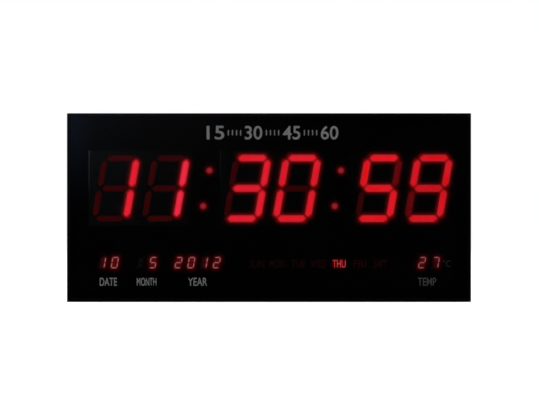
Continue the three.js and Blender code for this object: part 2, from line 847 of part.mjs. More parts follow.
const seatX = right - WALL - FIT; // what bears on the inside of the right rail ends here
const flangeInner = seatX - FLANGE_THICK;
const switchFace = boardWidth / 2 - SWITCH_SET_BACK;

// A button is turned about X: its stem, the flange that stops it, and its round cap.
function button() {
  const capEnd = right + BUTTON_PROUD;
  const profile = [
    [0, switchFace - STEM_IN_SWITCH],
    [STEM_RADIUS, switchFace - STEM_IN_SWITCH],
    [STEM_RADIUS, flangeInner],
    [flangeRadius, flangeInner],
    [flangeRadius, seatX],
    [BUTTON_RADIUS, seatX],
    [BUTTON_RADIUS, capEnd - BUTTON_ROUND],
    [BUTTON_RADIUS - BUTTON_ROUND, capEnd],
    [0, capEnd],
  ];
  return turned(profile, COARSE_SIDES).rotateZ(-Math.PI / 2);
}

function switchBody() {
  const half = SWITCH_TALL / 2;
  const body = block(
    [switchFace - SWITCH_LONG, partsFoot, -half],
    [switchFace, partsFoot + SWITCH_DEEP, half],
  );
  const deepest = Math.max(SWITCH_BORE_DEEP, STEM_IN_SWITCH + BUTTON_TRAVEL + FIT);
  const bore = rodAcross(
    STEM_RADIUS + STEM_SIDE_GAP,
    switchFace - deepest,
    switchFace + OVERRUN,
    sideY,
  );
  return cut(body, bore);
}

function makeBoard() {
  const board = new THREE.Group();
  const boardOutline = rectangle(boardWidth, boardHeight, 0, middleZ);
  columns.forEach((x) =>
    [-pillarZ, pillarZ].forEach((z) =>
      boardOutline.holes.push(disc(PEG_RADIUS + FIT, x, middleZ + z, SMALL_SIDES)),
    ),
  );
  board.add(
    piece("main_circuit_board", slab(boardOutline, boardFront, boardBack), finishes.board),
  );
  const crystal = rodAcross(
    CRYSTAL_RADIUS,
    -CRYSTAL_LONG / 2,
    CRYSTAL_LONG / 2,
    partsFoot + CRYSTAL_RADIUS,
  );
  const cellFront = partsFoot + HOLDER_FLOOR + FIT;
  const cell = rod(CELL_RADIUS, cellFront, cellFront + CELL_THICK, 0, 0, FINE_SIDES);
  const onBoard = [
    ["microcontroller", chip(CONTROLLER_LEGS), finishes.chip],
    ["driver_chip_left", chip(DRIVER_LEGS), finishes.chip],
    ["driver_chip_right", chip(DRIVER_LEGS), finishes.chip],
    ["temperature_sensor", temperatureSensor(), finishes.chip],
    ["cell_holder", cellHolder(), finishes.chip],
    ["buzzer", buzzer(), finishes.chip],
    ["crystal", crystal, finishes.steel],
    ["capacitor", capacitor(), finishes.chip],
    ["voltage_regulator", voltageRegulator(), finishes.chip],
  ];
  onBoard.forEach(([name, geometry, material]) => {
    const { x, z } = placed(name);
    board.add(piece(name, geometry, material, x, 0, z));
  });
  const holderPlace = placed("cell_holder");
  board.add(piece("coin_cell", cell, finishes.steel, holderPlace.x, 0, holderPlace.z));
  return board;
}

function makeSideControls() {
  const controls = new THREE.Group();
  const { chip: black, button: capFinish } = finishes;
  controls.add(piece("dc_jack", powerSocket(), black, seatX, sideY, JACK_UP));
  const buttonGeometry = button();
  const switchGeometry = switchBody();
  buttonHeights.forEach((height, i) => {
    const name = BUTTON_NAMES[i];
    controls.add(
      piece(`${name}_button`, buttonGeometry, capFinish, 0, sideY, height),
      piece(`${name}_switch`, switchGeometry, black, 0, 0, height),
    );
  });
  return controls;
}

const screwTop = back - SCREW_SUNK;

// A countersunk screw with a cross drive, pointing towards the front.
function panelScrew() {
  const coneFoot = screwTop - (SCREW_HEAD - SCREW_RADIUS);
  const body = turned(
    [
      [0, screwTop - SCREW_LONG],
      [SCREW_RADIUS, screwTop - SCREW_LONG],
      [SCREW_RADIUS, coneFoot],
      [SCREW_HEAD, screwTop],
      [0, screwTop],
    ],
    COARSE_SIDES,
  );
  const long = DRIVE_LONG / 2;
  const wide = DRIVE_WIDE / 2;
  const floor = screwTop - DRIVE_DEEP;
  const top = screwTop + OVERRUN;
  return cut(
    body,
    block([-long, floor, -wide], [long, top, wide]),
    block([-wide, floor, -long], [wide, top, long]),
  );
}

function countersink(x, z) {
  const apex = screwTop - SCREW_HEAD - FIT * Math.SQRT2;
  const mouth = back + OVERRUN;
  const radius = mouth - apex;
  return new THREE.CylinderGeometry(radius, 0, radius, COARSE_SIDES).translate(
    x,
    (apex + mouth) / 2,
    z,
  );
}

function ventSlots(name) {
  const { x, z } = placed(name);
  return Array.from({ length: VENT_COUNT }, (_, i) =>
    slot(VENT_WIDE, VENT_TALL, x + (i - (VENT_COUNT - 1) / 2) * ventPitch, z),
  );
}

function grilleHoles() {
  const { x, z } = placed("buzzer");
  const ring = Array.from({ length: GRILLE_COUNT }, (_, i) => {
    const angle = (i * 2 * Math.PI) / GRILLE_COUNT;
    return disc(
      GRILLE_HOLE,
      x + grilleRing * Math.cos(angle),
      z + grilleRing * Math.sin(angle),
      SMALL_SIDES,
    );
  });
  return [disc(GRILLE_HOLE, x, z, SMALL_SIDES), ...ring];
}

const screwPlaces = columns.flatMap((x) => [
  [x, SCREW_INSET],
  [x, HEIGHT - SCREW_INSET],
]);

function rearPanel() {
  const sheet = rectangle(sheetWidth, sheetHeight, 0, middleZ);
  const halfSpacing = KEYHOLE_SPACING / 2;
  sheet.holes.push(
    keyhole(-halfSpacing, keyholeZ),
    keyhole(halfSpacing, keyholeZ),
    ...ventSlots("vent_left"),
    ...ventSlots("vent_right"),
    ...grilleHoles(),
    ...screwPlaces.map(([x, z]) => disc(SCREW_RADIUS + FIT, x, z)),
  );
  const pillars = columns.flatMap((x) =>
    [-pillarZ, pillarZ].flatMap((rise) => {
      const z = middleZ + rise;
      return [
        rod(PILLAR_RADIUS, partsFoot, panelFront + PANEL_THICK / 2, x, z),
        rod(PEG_RADIUS, boardBack - PEG_IN_BOARD, panelFront, x, z, SMALL_SIDES),
      ];
    }),
  );
  const label = placed("label");
  const labelRecess = slab(
    rectangle(LABEL_WIDTH, LABEL_HEIGHT, label.x, label.z),
    back - LABEL_DEEP,
    back + OVERRUN,
  );
  return cut(
    join(slab(sheet, panelFront, back), ...pillars),
    labelRecess,
    ...screwPlaces.map(([x, z]) => countersink(x, z)),
  );
}

function makeRear() {
  const rear = new THREE.Group();
  rear.add(piece("rear_panel", rearPanel(), finishes.moulded));
  const screwGeometry = panelScrew();
  screwPlaces.forEach(([x, z], i) =>
    rear.add(piece(`panel_screw_${i + 1}`, screwGeometry, finishes.steel, x, 0, z)),
  );
  return rear;
}

const clock = new THREE.Group();
clock.add(
  makeFrame(),
  makeFrontSheets(),
  makeLights(),
  makeBoard(),
  makeSideControls(),
  makeRear(),
);

export default clock;
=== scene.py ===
# %% [markdown]
# # A digital wall clock and calendar
# The clock is a flat black box with glowing red numbers behind a smoked sheet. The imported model
# gives every piece at its real size. Each cell below takes one of them, says how it looks on the
# real clock, and gives it that surface. Lengths are written in millimetres and turned into metres
# as they go into a mesh. X runs right, Y runs from the face to the wall, and Z runs up.

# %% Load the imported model
import math

import bmesh
import bpy
import numpy as np
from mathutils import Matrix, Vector, geometry


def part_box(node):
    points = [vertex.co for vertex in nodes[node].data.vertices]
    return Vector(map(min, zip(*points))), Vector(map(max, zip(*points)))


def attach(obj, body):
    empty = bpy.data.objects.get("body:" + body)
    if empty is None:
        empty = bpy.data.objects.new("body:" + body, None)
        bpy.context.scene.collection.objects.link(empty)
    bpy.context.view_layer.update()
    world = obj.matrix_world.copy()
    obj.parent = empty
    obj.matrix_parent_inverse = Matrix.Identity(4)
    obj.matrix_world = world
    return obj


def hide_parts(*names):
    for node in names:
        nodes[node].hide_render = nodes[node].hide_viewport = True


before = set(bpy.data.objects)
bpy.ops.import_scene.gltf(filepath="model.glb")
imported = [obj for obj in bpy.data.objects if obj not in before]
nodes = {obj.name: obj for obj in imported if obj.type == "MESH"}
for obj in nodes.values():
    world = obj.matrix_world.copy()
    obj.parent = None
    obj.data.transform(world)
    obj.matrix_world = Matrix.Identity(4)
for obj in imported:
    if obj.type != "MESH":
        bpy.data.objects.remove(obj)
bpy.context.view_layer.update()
scene = bpy.context.scene

# %% [markdown]
# ## Sizes
# Nothing is measured twice: the case, the sheets and every light take their place from the box of
# the node that holds them. Only what the model doesn't say, such as the slant of the numbers, is
# written here.

# %% Read the sizes of the case and its sheets
MM = 0.001  # one millimetre in metres
XZ = [0, 2]  # where X and Z stand in a point
SLANT = math.tan(math.radians(10))  # how far the numbers lean for each unit of height
RAILS = [f"frame_{side}_rail" for side in ("bottom", "top", "left", "right")]


def box(*names):
    """The lowest and highest corner, in millimetres, of some nodes taken together."""
    corners = np.array([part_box(name) for name in names]) / MM
    return corners[:, 0].min(0), corners[:, 1].max(0)


def middle(*names):
    """The middle of that box."""
    return np.mean(box(*names), axis=0)


case_low, case_high = box(*RAILS)
case_width, case_depth, case_height = case_high - case_low
mask_low, mask_high = box("printed_mask")
window_rear = box("front_window")[1][1]
print("case", case_width.round(2), case_depth.round(2), case_height.round(2))

# %% [markdown]
# ## The camera
# The photograph is taken square on from far away: neither the sides nor the buttons show, and the
# face is a plain rectangle. A long lens does the same. The face's edges in the picture give the
# scale, and the lens follows from the distance.

# %% Stand the camera in front
PICTURE_WIDTH, PICTURE_HEIGHT = 539, 404
FACE_LEFT_PIXEL, FACE_RIGHT_PIXEL = 66.85, 471.15  # where the face's edges are in the picture
FACE_TOP_PIXEL, FACE_BOTTOM_PIXEL = 112.95, 302.3
CAMERA_DISTANCE = 2500
CAMERA_SIGHT = 100  # in metres

millimetres_per_pixel = case_width / (FACE_RIGHT_PIXEL - FACE_LEFT_PIXEL)
right_of_middle = (FACE_LEFT_PIXEL + FACE_RIGHT_PIXEL - PICTURE_WIDTH) / 2
below_middle = (FACE_TOP_PIXEL + FACE_BOTTOM_PIXEL - PICTURE_HEIGHT) / 2
picture_reach = PICTURE_WIDTH * millimetres_per_pixel
camera_data = bpy.data.cameras.new("camera")
camera_data.lens = camera_data.sensor_width * CAMERA_DISTANCE / picture_reach
camera_data.shift_x = -right_of_middle / PICTURE_WIDTH
camera_data.shift_y = below_middle / PICTURE_WIDTH
camera_data.clip_end = CAMERA_SIGHT
camera = bpy.data.objects.new("camera", camera_data)
camera.location = (0, (case_low[1] - CAMERA_DISTANCE) * MM, case_height / 2 * MM)
camera.rotation_euler = (math.pi / 2, 0, 0)
scene.collection.objects.link(camera)
scene.camera = camera
scene.view_settings.view_transform = "Standard"
print("lens", round(camera_data.lens, 1))

# %% [markdown]
# ## Shader maths
# A pattern is easier to read as a formula than as a web of nodes. Socket wraps one output, and
# ordinary signs between sockets and numbers add the Math nodes. put adds any other node, with its
# settings first and its inputs second.


# %% Arithmetic on sockets
class Socket:
    """One output of a node. Signs between sockets and numbers add Math nodes."""

    def __init__(self, tree, output):
        self.tree = tree
        self.output = output

    def maths(self, operation, *values):
        numbered = {f"i{i}": value for i, value in enumerate(values)}
        return put(self.tree, "Math", {"operation": operation}, **numbered)

    def __add__(self, other):
        return self.maths("ADD", self, other)

    def __sub__(self, other):
        return self.maths("SUBTRACT", self, other)

    def __rsub__(self, other):
        return self.maths("SUBTRACT", other, self)

    def __mul__(self, other):
        return self.maths("MULTIPLY", self, other)

    def __pow__(self, other):
        return self.maths("POWER", self, other)

    def __neg__(self):
        return self.maths("MULTIPLY", self, -1)

    def __abs__(self):
        return self.maths("ABSOLUTE", self)

    __radd__ = __add__
    __rmul__ = __mul__

    def least(self, other):
        return self.maths("MINIMUM", self, other)

    def most(self, other):
        return self.maths("MAXIMUM", self, other)

    def rise(self, start, end):
        """0 at start, 1 at end and an S curve between them. Start may be the larger."""
        ramp = {"interpolation_type": "SMOOTHSTEP"}
        return put(self.tree, "MapRange", ramp, i0=self, i1=start, i2=end)


# %% Add any node
def put(tree, kind, settings=None, output=0, **inputs):
    """Adds a node. An input is named with _ for a space, or as i0, i1 and so on by number."""
    node = tree.nodes.new("ShaderNode" + kind)
    for name, value in (settings or {}).items():
        setattr(node, name, value)
    for name, value in inputs.items():
        numbered = name[0] == "i" and name[1:].isdigit()
        socket = node.inputs[int(name[1:]) if numbered else name.replace("_", " ")]
        if isinstance(value, Socket):
            tree.links.new(value.output, socket)
        else:
            socket.default_value = value
    return Socket(tree, node.outputs[output]) if node.outputs else node


# %% [markdown]
# ## The studio
# The picture's ground is pure white. The world and the floor are white to the camera, while what
# lights the clock is weaker: an even sky and three soft lamps, which together show a colour about
# as it is written. The glossy sheet mirrors whatever stands behind the camera, so the sky that a
# mirror sees is dark there and brighter towards the sides, as in a darkened studio. It is brighter
# again behind the clock, where the screws and the label would otherwise look dull. A grey haze
# stays in the sheet's upper left part and a cool gleam at its left edge, as in the picture.

# %% Light the room
SKY_LEVEL = 0.55  # of the sky that lights the clock
MIRROR_LEVEL, MIRROR_REAR_LEVEL = 0.4, 0.5  # the second is added behind the clock
MIRROR_FRONT_COSINES = 0.985, 0.3  # from black straight ahead to its full level at the sides
MIRROR_REAR_COSINES = 0.5, 0.95  # from nothing to all of it straight behind
PATCH_COSINES, PATCH_HEIGHTS = (0.9, 0.98), (-0.004, 0.06)  # the haze and gleam stay in here
HAZE_LEVEL, HAZE_COLOUR = 0.28, (1, 1.05, 1.2)
HAZE_ENDS = 0.03, -0.15  # from nothing to all of it, across
GLEAM_LEVEL, GLEAM_COLOUR = 0.6, (0.08, 0.35, 1)
GLEAM_MIDDLE, GLEAM_REACH = -0.094, 0.016

world = bpy.data.worlds.new("studio")
world.use_nodes = True
scene.world = world
sky = world.node_tree
sky.nodes.clear()
direction = put(sky, "TexCoord")
across, away, upwards = (put(sky, "SeparateXYZ", None, i, Vector=direction) for i in range(3))
to_camera, to_mirror, through_glass = (put(sky, "LightPath", None, i) for i in (0, 3, 6))
shown = to_camera.most(through_glass)
mirrored = (-away).rise(*MIRROR_FRONT_COSINES) * MIRROR_LEVEL
mirrored = mirrored + away.rise(*MIRROR_REAR_COSINES) * MIRROR_REAR_LEVEL
level = shown + to_mirror * mirrored + (1 - shown.most(to_mirror)) * SKY_LEVEL
patch = (-away).rise(*PATCH_COSINES) * upwards.rise(*PATCH_HEIGHTS) * to_mirror
haze = across.rise(*HAZE_ENDS) * patch * HAZE_LEVEL
gleam = abs(across - GLEAM_MIDDLE).rise(GLEAM_REACH, 0) * patch * GLEAM_LEVEL
parts = [level + haze * h + gleam * g for h, g in zip(HAZE_COLOUR, GLEAM_COLOUR)]
light = put(sky, "CombineXYZ", **dict(zip("XYZ", parts)))
put(sky, "OutputWorld", Surface=put(sky, "Background", Color=light))
print("sky nodes", len(sky.nodes))

# %% Hang the lamps
LAMPS = {  # place in metres, width in metres, power in watts
    "key_lamp": ((-1.5, -1.3, 1.9), 1.1, 26),
    "fill_lamp": ((1.5, -0.9, 1.6), 1.2, 13.5),
    "rear_lamp": ((0.9, 1.7, 1.6), 1.2, 22),
}
for lamp_name, (place, width, power) in LAMPS.items():
    lamp_data = bpy.data.lights.new(lamp_name, "AREA")
    lamp_data.size = width
    lamp_data.energy = power
    lamp = bpy.data.objects.new(lamp_name, lamp_data)
    lamp.location = place
    target = Vector((0, 0, case_height / 2 * MM))
    lamp.rotation_euler = (target - lamp.location).to_track_quat("-Z", "Y").to_euler()
    scene.collection.objects.link(lamp)
print("lamps", *LAMPS)

# %% [markdown]
# ## Shapes as arrays
# Every new piece is a surface worked out with numpy. Shape keeps its points, its faces and any
# named values on the points, and shapes can be added together. A piece is then one mesh, welded
# where points meet, turned so that its faces point outwards, and hung on its body.


# %% Points and faces
class Shape:
    """Points in millimetres, faces as lists of point numbers, and named values on the points."""

    def __init__(self, points, faces, **values):
        self.points = np.asarray(points, float)
        self.faces = [np.asarray(part) for part in (faces if isinstance(faces, list) else [faces])]
        self.values = {name: np.broadcast_to(v, len(self.points)) for name, v in values.items()}

    def __add__(self, other):
        count = len(self.points)
        both = Shape(
            np.concatenate([self.points, other.points]),
            self.faces + [part + count for part in other.faces],
        )
        for name in {**self.values, **other.values}:
            parts = [s.values.get(name, np.zeros(len(s.points))) for s in (self, other)]
            both.values[name] = np.concatenate(parts)
        return both


def joined(shapes):
    """Several shapes as one."""
    total, *others = shapes
    for shape in others:
        total = total + shape
    return total


def grid(rows, columns):
    """Quads over rings of points that are counted ring by ring. Each ring is closed."""
    row, column = np.meshgrid(np.arange(rows - 1), np.arange(columns), indexing="ij")
    beside = (column + 1) % columns
    corners = (row, column), (row, beside), (row + 1, beside), (row + 1, column)
    return np.stack([(r * columns + c).ravel() for r, c in corners], axis=1)


# %% Make a piece of a shape
WELD = 0.002  # points nearer than this become one


def mend(mesh, flat_angle=0):
    """Welds a mesh and turns its faces outwards. Sides that meet at less than an angle are joined."""
    work = bmesh.new()
    work.from_mesh(mesh)
    bmesh.ops.remove_doubles(work, verts=work.verts, dist=WELD * MM)
    if flat_angle:
        limit = math.radians(flat_angle)
        bmesh.ops.dissolve_limit(work, angle_limit=limit, verts=work.verts, edges=work.edges)
    bmesh.ops.recalc_face_normals(work, faces=work.faces)
    work.to_mesh(mesh)
    work.free()


def shade(mesh, angle):
    """Smooth shading, with an edge kept sharp where its faces meet at more than this angle."""
    mesh.polygons.foreach_set("use_smooth", np.ones(len(mesh.polygons), bool))
    mesh.set_sharp_from_angle(angle=math.radians(angle))


def hang(thing, body, replaced):
    """Puts an object into the scene on its body, and says what it stands for."""
    scene.collection.objects.link(thing)
    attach(thing, body)
    if replaced:
        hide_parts(*replaced)


def piece(name, shape, finish, replaced=(), body="case", angle=35):
    """One mesh from a shape."""
    mesh = bpy.data.meshes.new(name)
    faces = [face for part in shape.faces for face in part.tolist()]
    mesh.from_pydata((shape.points * MM).tolist(), [], faces)
    for value_name, values in shape.values.items():
        attribute = mesh.attributes.new(value_name, "FLOAT", "POINT")
        attribute.data.foreach_set("value", np.asarray(values, np.float32))
    mend(mesh)
    shade(mesh, angle)
    mesh.materials.append(finish.material)
    hang(bpy.data.objects.new(name, mesh), body, replaced)


# %% [markdown]
# ## Finishes
# A finish is one Principled shader. What is the same all over is set on its sockets, and what
# changes over the surface is a formula of the place on the object. A colour is given in linear
# light, or else as a screen shows it and then turned into linear light. What shines does so behind
# the smoked sheet, through its two dark faces, so its light is made stronger by as much as they
# take.

# %% Start a finish
WINDOW_ALPHA = 0.35  # how much of the light each face of the sheet takes
clearness = (1 - WINDOW_ALPHA) ** 2


class Finish:
    """A material being made. Its formulas take the place on the object, in millimetres."""

    def __init__(self, name, **plain):
        self.material = bpy.data.materials.new(name)
        self.material.use_nodes = True
        self.tree = self.material.node_tree
        self.shader = self.tree.nodes["Principled BSDF"]
        for key, value in plain.items():
            self.shader.inputs[key.replace("_", " ")].default_value = value

    def put(self, kind, settings=None, output=0, **inputs):
        return put(self.tree, kind, settings, output, **inputs)

    def place(self, scale=(1, 1, 1)):
        """Object coordinates in millimetres, each axis times its own scale."""
        object_place = self.put("TexCoord", None, 3)
        size = tuple(s / MM for s in scale)
        return self.put("Mapping", {"vector_type": "POINT"}, Vector=object_place, Scale=size)

    def axes(self):
        """X, Y and Z in millimetres."""
        place = self.place()
        return [self.put("SeparateXYZ", None, i, Vector=place) for i in range(3)]

    def noise(self, size, detail=2, scale=(1, 1, 1)):
        """Noise about this many millimetres across."""
        return self.put("TexNoise", Vector=self.place(scale), Scale=1 / size, Detail=detail)

    def value(self, name):
        """A value that the mesh carries on its points."""
        return self.put("Attribute", {"attribute_name": name}, 2)

    def mix(self, share, first, second):
        return self.put("Mix", {"data_type": "RGBA"}, 2, i0=share, i6=first, i7=second)

    def feed(self, name, socket):
        self.tree.links.new(socket.output, self.shader.inputs[name])

    def shine(self, *lights):
        """Light through the sheet: the sum of some colours, each times its level."""
        total = (0, 0, 0)
        for colour, level in lights:
            sum_of_products = {"operation": "MULTIPLY_ADD"}
            total = self.put("VectorMath", sum_of_products, i0=colour, i1=level, i2=total)
        self.feed("Emission Color", total)
        self.shader.inputs["Emission Strength"].default_value = 1 / clearness
        self.material.cycles.emission_sampling = "NONE"

    def bump(self, height, depth, strength=1.0):
        """Height is 0 to 1, and depth is how many millimetres that stands for."""
        bump = self.put("Bump", Height=height, Distance=depth * MM, Strength=strength)
        self.feed("Normal", bump)


# %% Give a colour
def seen(red, green, blue):
    """The linear colour that a screen shows as these levels of 0 to 255."""
    level = np.array([red, green, blue]) / 255
    linear = np.where(level > 0.04045, ((level + 0.055) / 1.055) ** 2.4, level / 12.92)
    return (*linear.tolist(), 1)


def grey(level, blue=None):
    """A linear grey, or one whose blue is another level."""
    return (level, level, blue or level, 1)


# %% [markdown]
# ## The floor
# The floor is white to the camera and still takes the clock's shadow: part of its light is its
# own, and part comes from the lamps. Mirrors look past it into the sky.

# %% Lay the floor
FLOOR_REACH = 6000
FLOOR_GLOW = 0.55

floor_white = grey(1)
floor_finish = Finish("floor", Roughness=0.9, Base_Color=grey(0.8), Emission_Color=floor_white)
floor_finish.feed("Emission Strength", floor_finish.put("LightPath", None, 0) * FLOOR_GLOW)
floor_corners = np.array([(-1, -1, 0), (1, -1, 0), (1, 1, 0), (-1, 1, 0)]) * FLOOR_REACH * MM
floor_mesh = bpy.data.meshes.new("floor")
floor_mesh.from_pydata(floor_corners.tolist(), [], [(0, 1, 2, 3)])
floor_mesh.materials.append(floor_finish.material)
floor = bpy.data.objects.new("floor", floor_mesh)
floor.visible_glossy = False
scene.collection.objects.link(floor)
print("floor", 2 * FLOOR_REACH * MM, "metres wide")

# %% [markdown]
# ## Seven bars make a digit
# A big digit is seven bars of red resin, each a long hexagon with rounded corners, drawn upright
# and then slanted. All ten numbers are patterns of lit bars, so the time is one line to change.
# Each bar is a solid of rings: down its wall, round its shoulder, and in to the line along its
# middle. The value "core" grows inwards, so that the shader can make the edge paler.

# %% Patterns of bars
LIT_BARS = {"0": "abcdef", "1": "bc", "2": "abdeg", "3": "abcdg", "4": "bcfg", "5": "acdfg"}
LIT_BARS |= {"6": "acdefg", "7": "abc", "8": "abcdefg", "9": "abcdfg", " ": ""}
BAR_END_SHARES = {  # the two ends of each bar, across and up, as shares of a digit's arms
    "a": ((-1, 1), (1, 1)),
    "b": ((1, 0), (1, 1)),
    "c": ((1, -1), (1, 0)),
    "d": ((-1, -1), (1, -1)),
    "e": ((-1, -1), (-1, 0)),
    "f": ((-1, 0), (-1, 1)),
    "g": ((-1, 0), (1, 0)),
}
BIG_STROKE, BIG_GAP, BIG_CORNER = 8, 2.35, 1.3
BIG_WIDTH_SHARE, BIG_HEIGHT_SHARE = 0.965, 0.985  # of the block that the bars stand in
SMALL_STROKE, SMALL_GAP, SMALL_CORNER = 1.4, 0.5, 0.35
print("numbers", len(LIT_BARS) - 1, "from", len(BAR_END_SHARES), "bars")


# %% Lean and round an outline
def slanted(points, x=0, z=0):
    """Points that were drawn upright about 0, leaned over and moved to their place."""
    points = np.asarray(points, float)
    return np.stack([x + points[..., 0] + points[..., 1] * SLANT, z + points[..., 1]], axis=-1)


def normals(outline):
    """The outward normal of each side of an anticlockwise outline: its direction, turned right."""
    side = np.roll(outline, -1, axis=0) - outline
    return np.stack([side[:, 1], -side[:, 0]], 1) / np.linalg.norm(side, axis=1)[:, None]


def rounded(corners, radius, steps):
    """A convex outline, anticlockwise, with an arc for each corner. The arc's middle lies on the
    corner's bisector, and it swings from one side's normal to the next side's."""
    corners = np.asarray(corners, float)
    normal = normals(corners)
    before = np.roll(normal, 1, axis=0)
    centre = corners - radius * (before + normal) / (1 + (before * normal).sum(1))[:, None]
    start = np.arctan2(before[:, 1], before[:, 0])
    turn = (np.arctan2(normal[:, 1], normal[:, 0]) - start) % (2 * math.pi)
    angle = start[:, None] + turn[:, None] * np.linspace(0, 1, steps + 1)
    arc = radius * np.stack([np.cos(angle), np.sin(angle)], axis=2)
    return (centre[:, None] + arc).reshape(-1, 2)


def rectangle(low_x, low_z, high_x, high_z, corner, steps=3):
    """A rectangle with round corners."""
    corners = [(low_x, low_z), (high_x, low_z), (high_x, high_z), (low_x, high_z)]
    return rounded(corners, corner, steps)


def unit(vector):
    """The vector over its own length."""
    return vector / np.linalg.norm(vector)


# %% Make one bar
FACE_SHARES = 0.35, 0.7, 1  # rings on a bar's face, of which the second is where its core is full


def bar_line(letter, width, height, stroke, gap):
    """The middle line of one bar, from tip to tip, with the gap taken off both tips."""
    arms = np.array([width - stroke, height - stroke]) / 2
    start, end = np.array(BAR_END_SHARES[letter]) * arms
    shorter = unit(end - start) * gap * math.sqrt(0.5)
    return start + shorter, end - shorter


def bar_outline(start, end, half, corner, steps=3):
    """The rounded hexagon round a bar's middle line."""
    along = unit(end - start)
    beside = np.array([-along[1], along[0]])
    near, far = start + half * along, end - half * along
    sides = [near - half * beside, far - half * beside, far + half * beside, near + half * beside]
    return rounded([start, *sides[:2], end, *sides[2:]], corner, steps)


def spine(start, end, half, centre):
    """A bar's middle line without its tips, slanted and in its place. The bar's edge is about half
    a stroke away from it all round, so halos are measured from it."""
    tip = unit(end - start) * half
    return slanted([start + tip, end - tip], *centre[XZ])


def bar_solid(start, end, half, corner, front, rear, x, z, shoulder=0.3, **values):
    """Rings of the outline: down the wall, round the shoulder, and in to the middle line. Each
    ring is the outline drawn towards the nearest point of the middle line by a share of 0 to 1."""
    outline = bar_outline(start, end, half, corner)
    along = unit(end - start)
    length = np.linalg.norm(end - start)
    distance = np.clip((outline - start) @ along, half, length - half)
    nearest = start + distance[:, None] * along
    bend = np.linspace(0, math.pi / 2, 4)
    inward = shoulder * (1 - np.cos(bend)) / half
    depths = [rear, *(front + shoulder * (1 - np.sin(bend))), *(front for _ in FACE_SHARES)]
    shares = [0, *inward, *FACE_SHARES]
    rings = [outline + (nearest - outline) * share for share in shares]
    flat = slanted(np.array(rings), x, z)
    depth = np.broadcast_to(np.array(depths)[:, None], flat.shape[:2])
    points = np.stack([flat[..., 0], depth, flat[..., 1]], axis=-1).reshape(-1, 3)
    core = np.repeat(np.clip(np.array(shares) / FACE_SHARES[1], 0, 1), len(outline))
    faces = [grid(len(rings), len(outline)), np.arange(len(outline))[None]]
    return Shape(points, faces, core=core, **values)


# %% [markdown]
# ## What the clock shows
# The reading is the picture's: 11:30:59 on the 10th of month 5, 2012, a Thursday, at 27 degrees.
# The numbers are scanned one after another, so a bar that has just gone out still glows a little,
# one that has just come on isn't full yet, and some numbers are a little dimmer or pinker.

# %% The reading
READING = {"hours_tens": "1", "hours_units": "1", "minutes_tens": "3", "minutes_units": "0"}
READING |= {"seconds_tens": "5", "seconds_units": "9", "date_1": "1", "date_2": "0"}
READING |= {"month_1": " ", "month_2": "5", "year_1": "2", "year_2": "0", "year_3": "1"}
READING |= {"year_4": "2", "temperature_1": "2", "temperature_2": "7"}
TODAY = "THU"
BIG_DIGITS = [name for name in READING if name.endswith(("tens", "units"))]
SMALL_DIGITS = [name for name in READING if name not in BIG_DIGITS]
FADING_BARS = {
    ("seconds_tens", "b"): 0.12,
    ("seconds_units", "e"): 0.11,
    ("seconds_units", "g"): 0.75,
}
DIMMED = {"minutes_tens": 0.95, "minutes_units": 0.94, "seconds_units": 0.88}
DIMMED |= {"temperature_1": 0.82, "temperature_2": 0.82}
PINKNESS = {"hours_tens": 0.35, "hours_units": 0.95, "minutes_tens": 0.22, "minutes_units": 0.2}


def digit_bars(digit, width, height, stroke, gap):
    """For each bar, the ends of its middle line and how brightly it shines, from 0 to 1."""
    bars = []
    for letter in BAR_END_SHARES:
        lit = DIMMED.get(digit, 1) if letter in LIT_BARS[READING[digit]] else 0
        lit = FADING_BARS.get((digit, letter), lit)
        bars.append((*bar_line(letter, width, height, stroke, gap), lit))
    return bars


print("reading", "".join(READING[name] for name in BIG_DIGITS), TODAY)

# %% [markdown]
# ## Red resin
# Unlit resin is a dull dark red, darker towards its edges. Lit, it shines so evenly that its shape
# is flat: full red in the middle, and a little dimmer and paler at the edge.

# %% Make the resin
LIT_CORE, LIT_EDGE, LIT_PINK = seen(229, 9, 17), seen(146, 39, 50), seen(242, 38, 66)
DULL_EDGE = (0.07, 0.001, 0.002, 1)
DULL_CORES = (0.17, 0.001, 0.003, 1), (0.22, 0.001, 0.005, 1)

resin = Finish("red_resin", Specular_IOR_Level=0.2)
inward = resin.value("core")
dull = resin.mix(resin.noise(9).rise(0.35, 0.65), *DULL_CORES)
resin.feed("Base Color", resin.mix(inward**0.6, DULL_EDGE, dull))
pinkness = resin.value("pink") + resin.noise(30).rise(0.4, 0.7) * 0.2
mottled = resin.noise(4).rise(0.3, 0.7) * 0.08 + 0.94
bar_colour = resin.mix(inward, LIT_EDGE, resin.mix(pinkness, LIT_CORE, LIT_PINK))
resin.shine((bar_colour, resin.value("lit") * mottled))
resin.feed("Roughness", resin.noise(1.5) * 0.2 + 0.3)
resin.bump(resin.noise(0.6, 3), 0.02)
print("light is made stronger", round(1 / clearness, 2), "times")

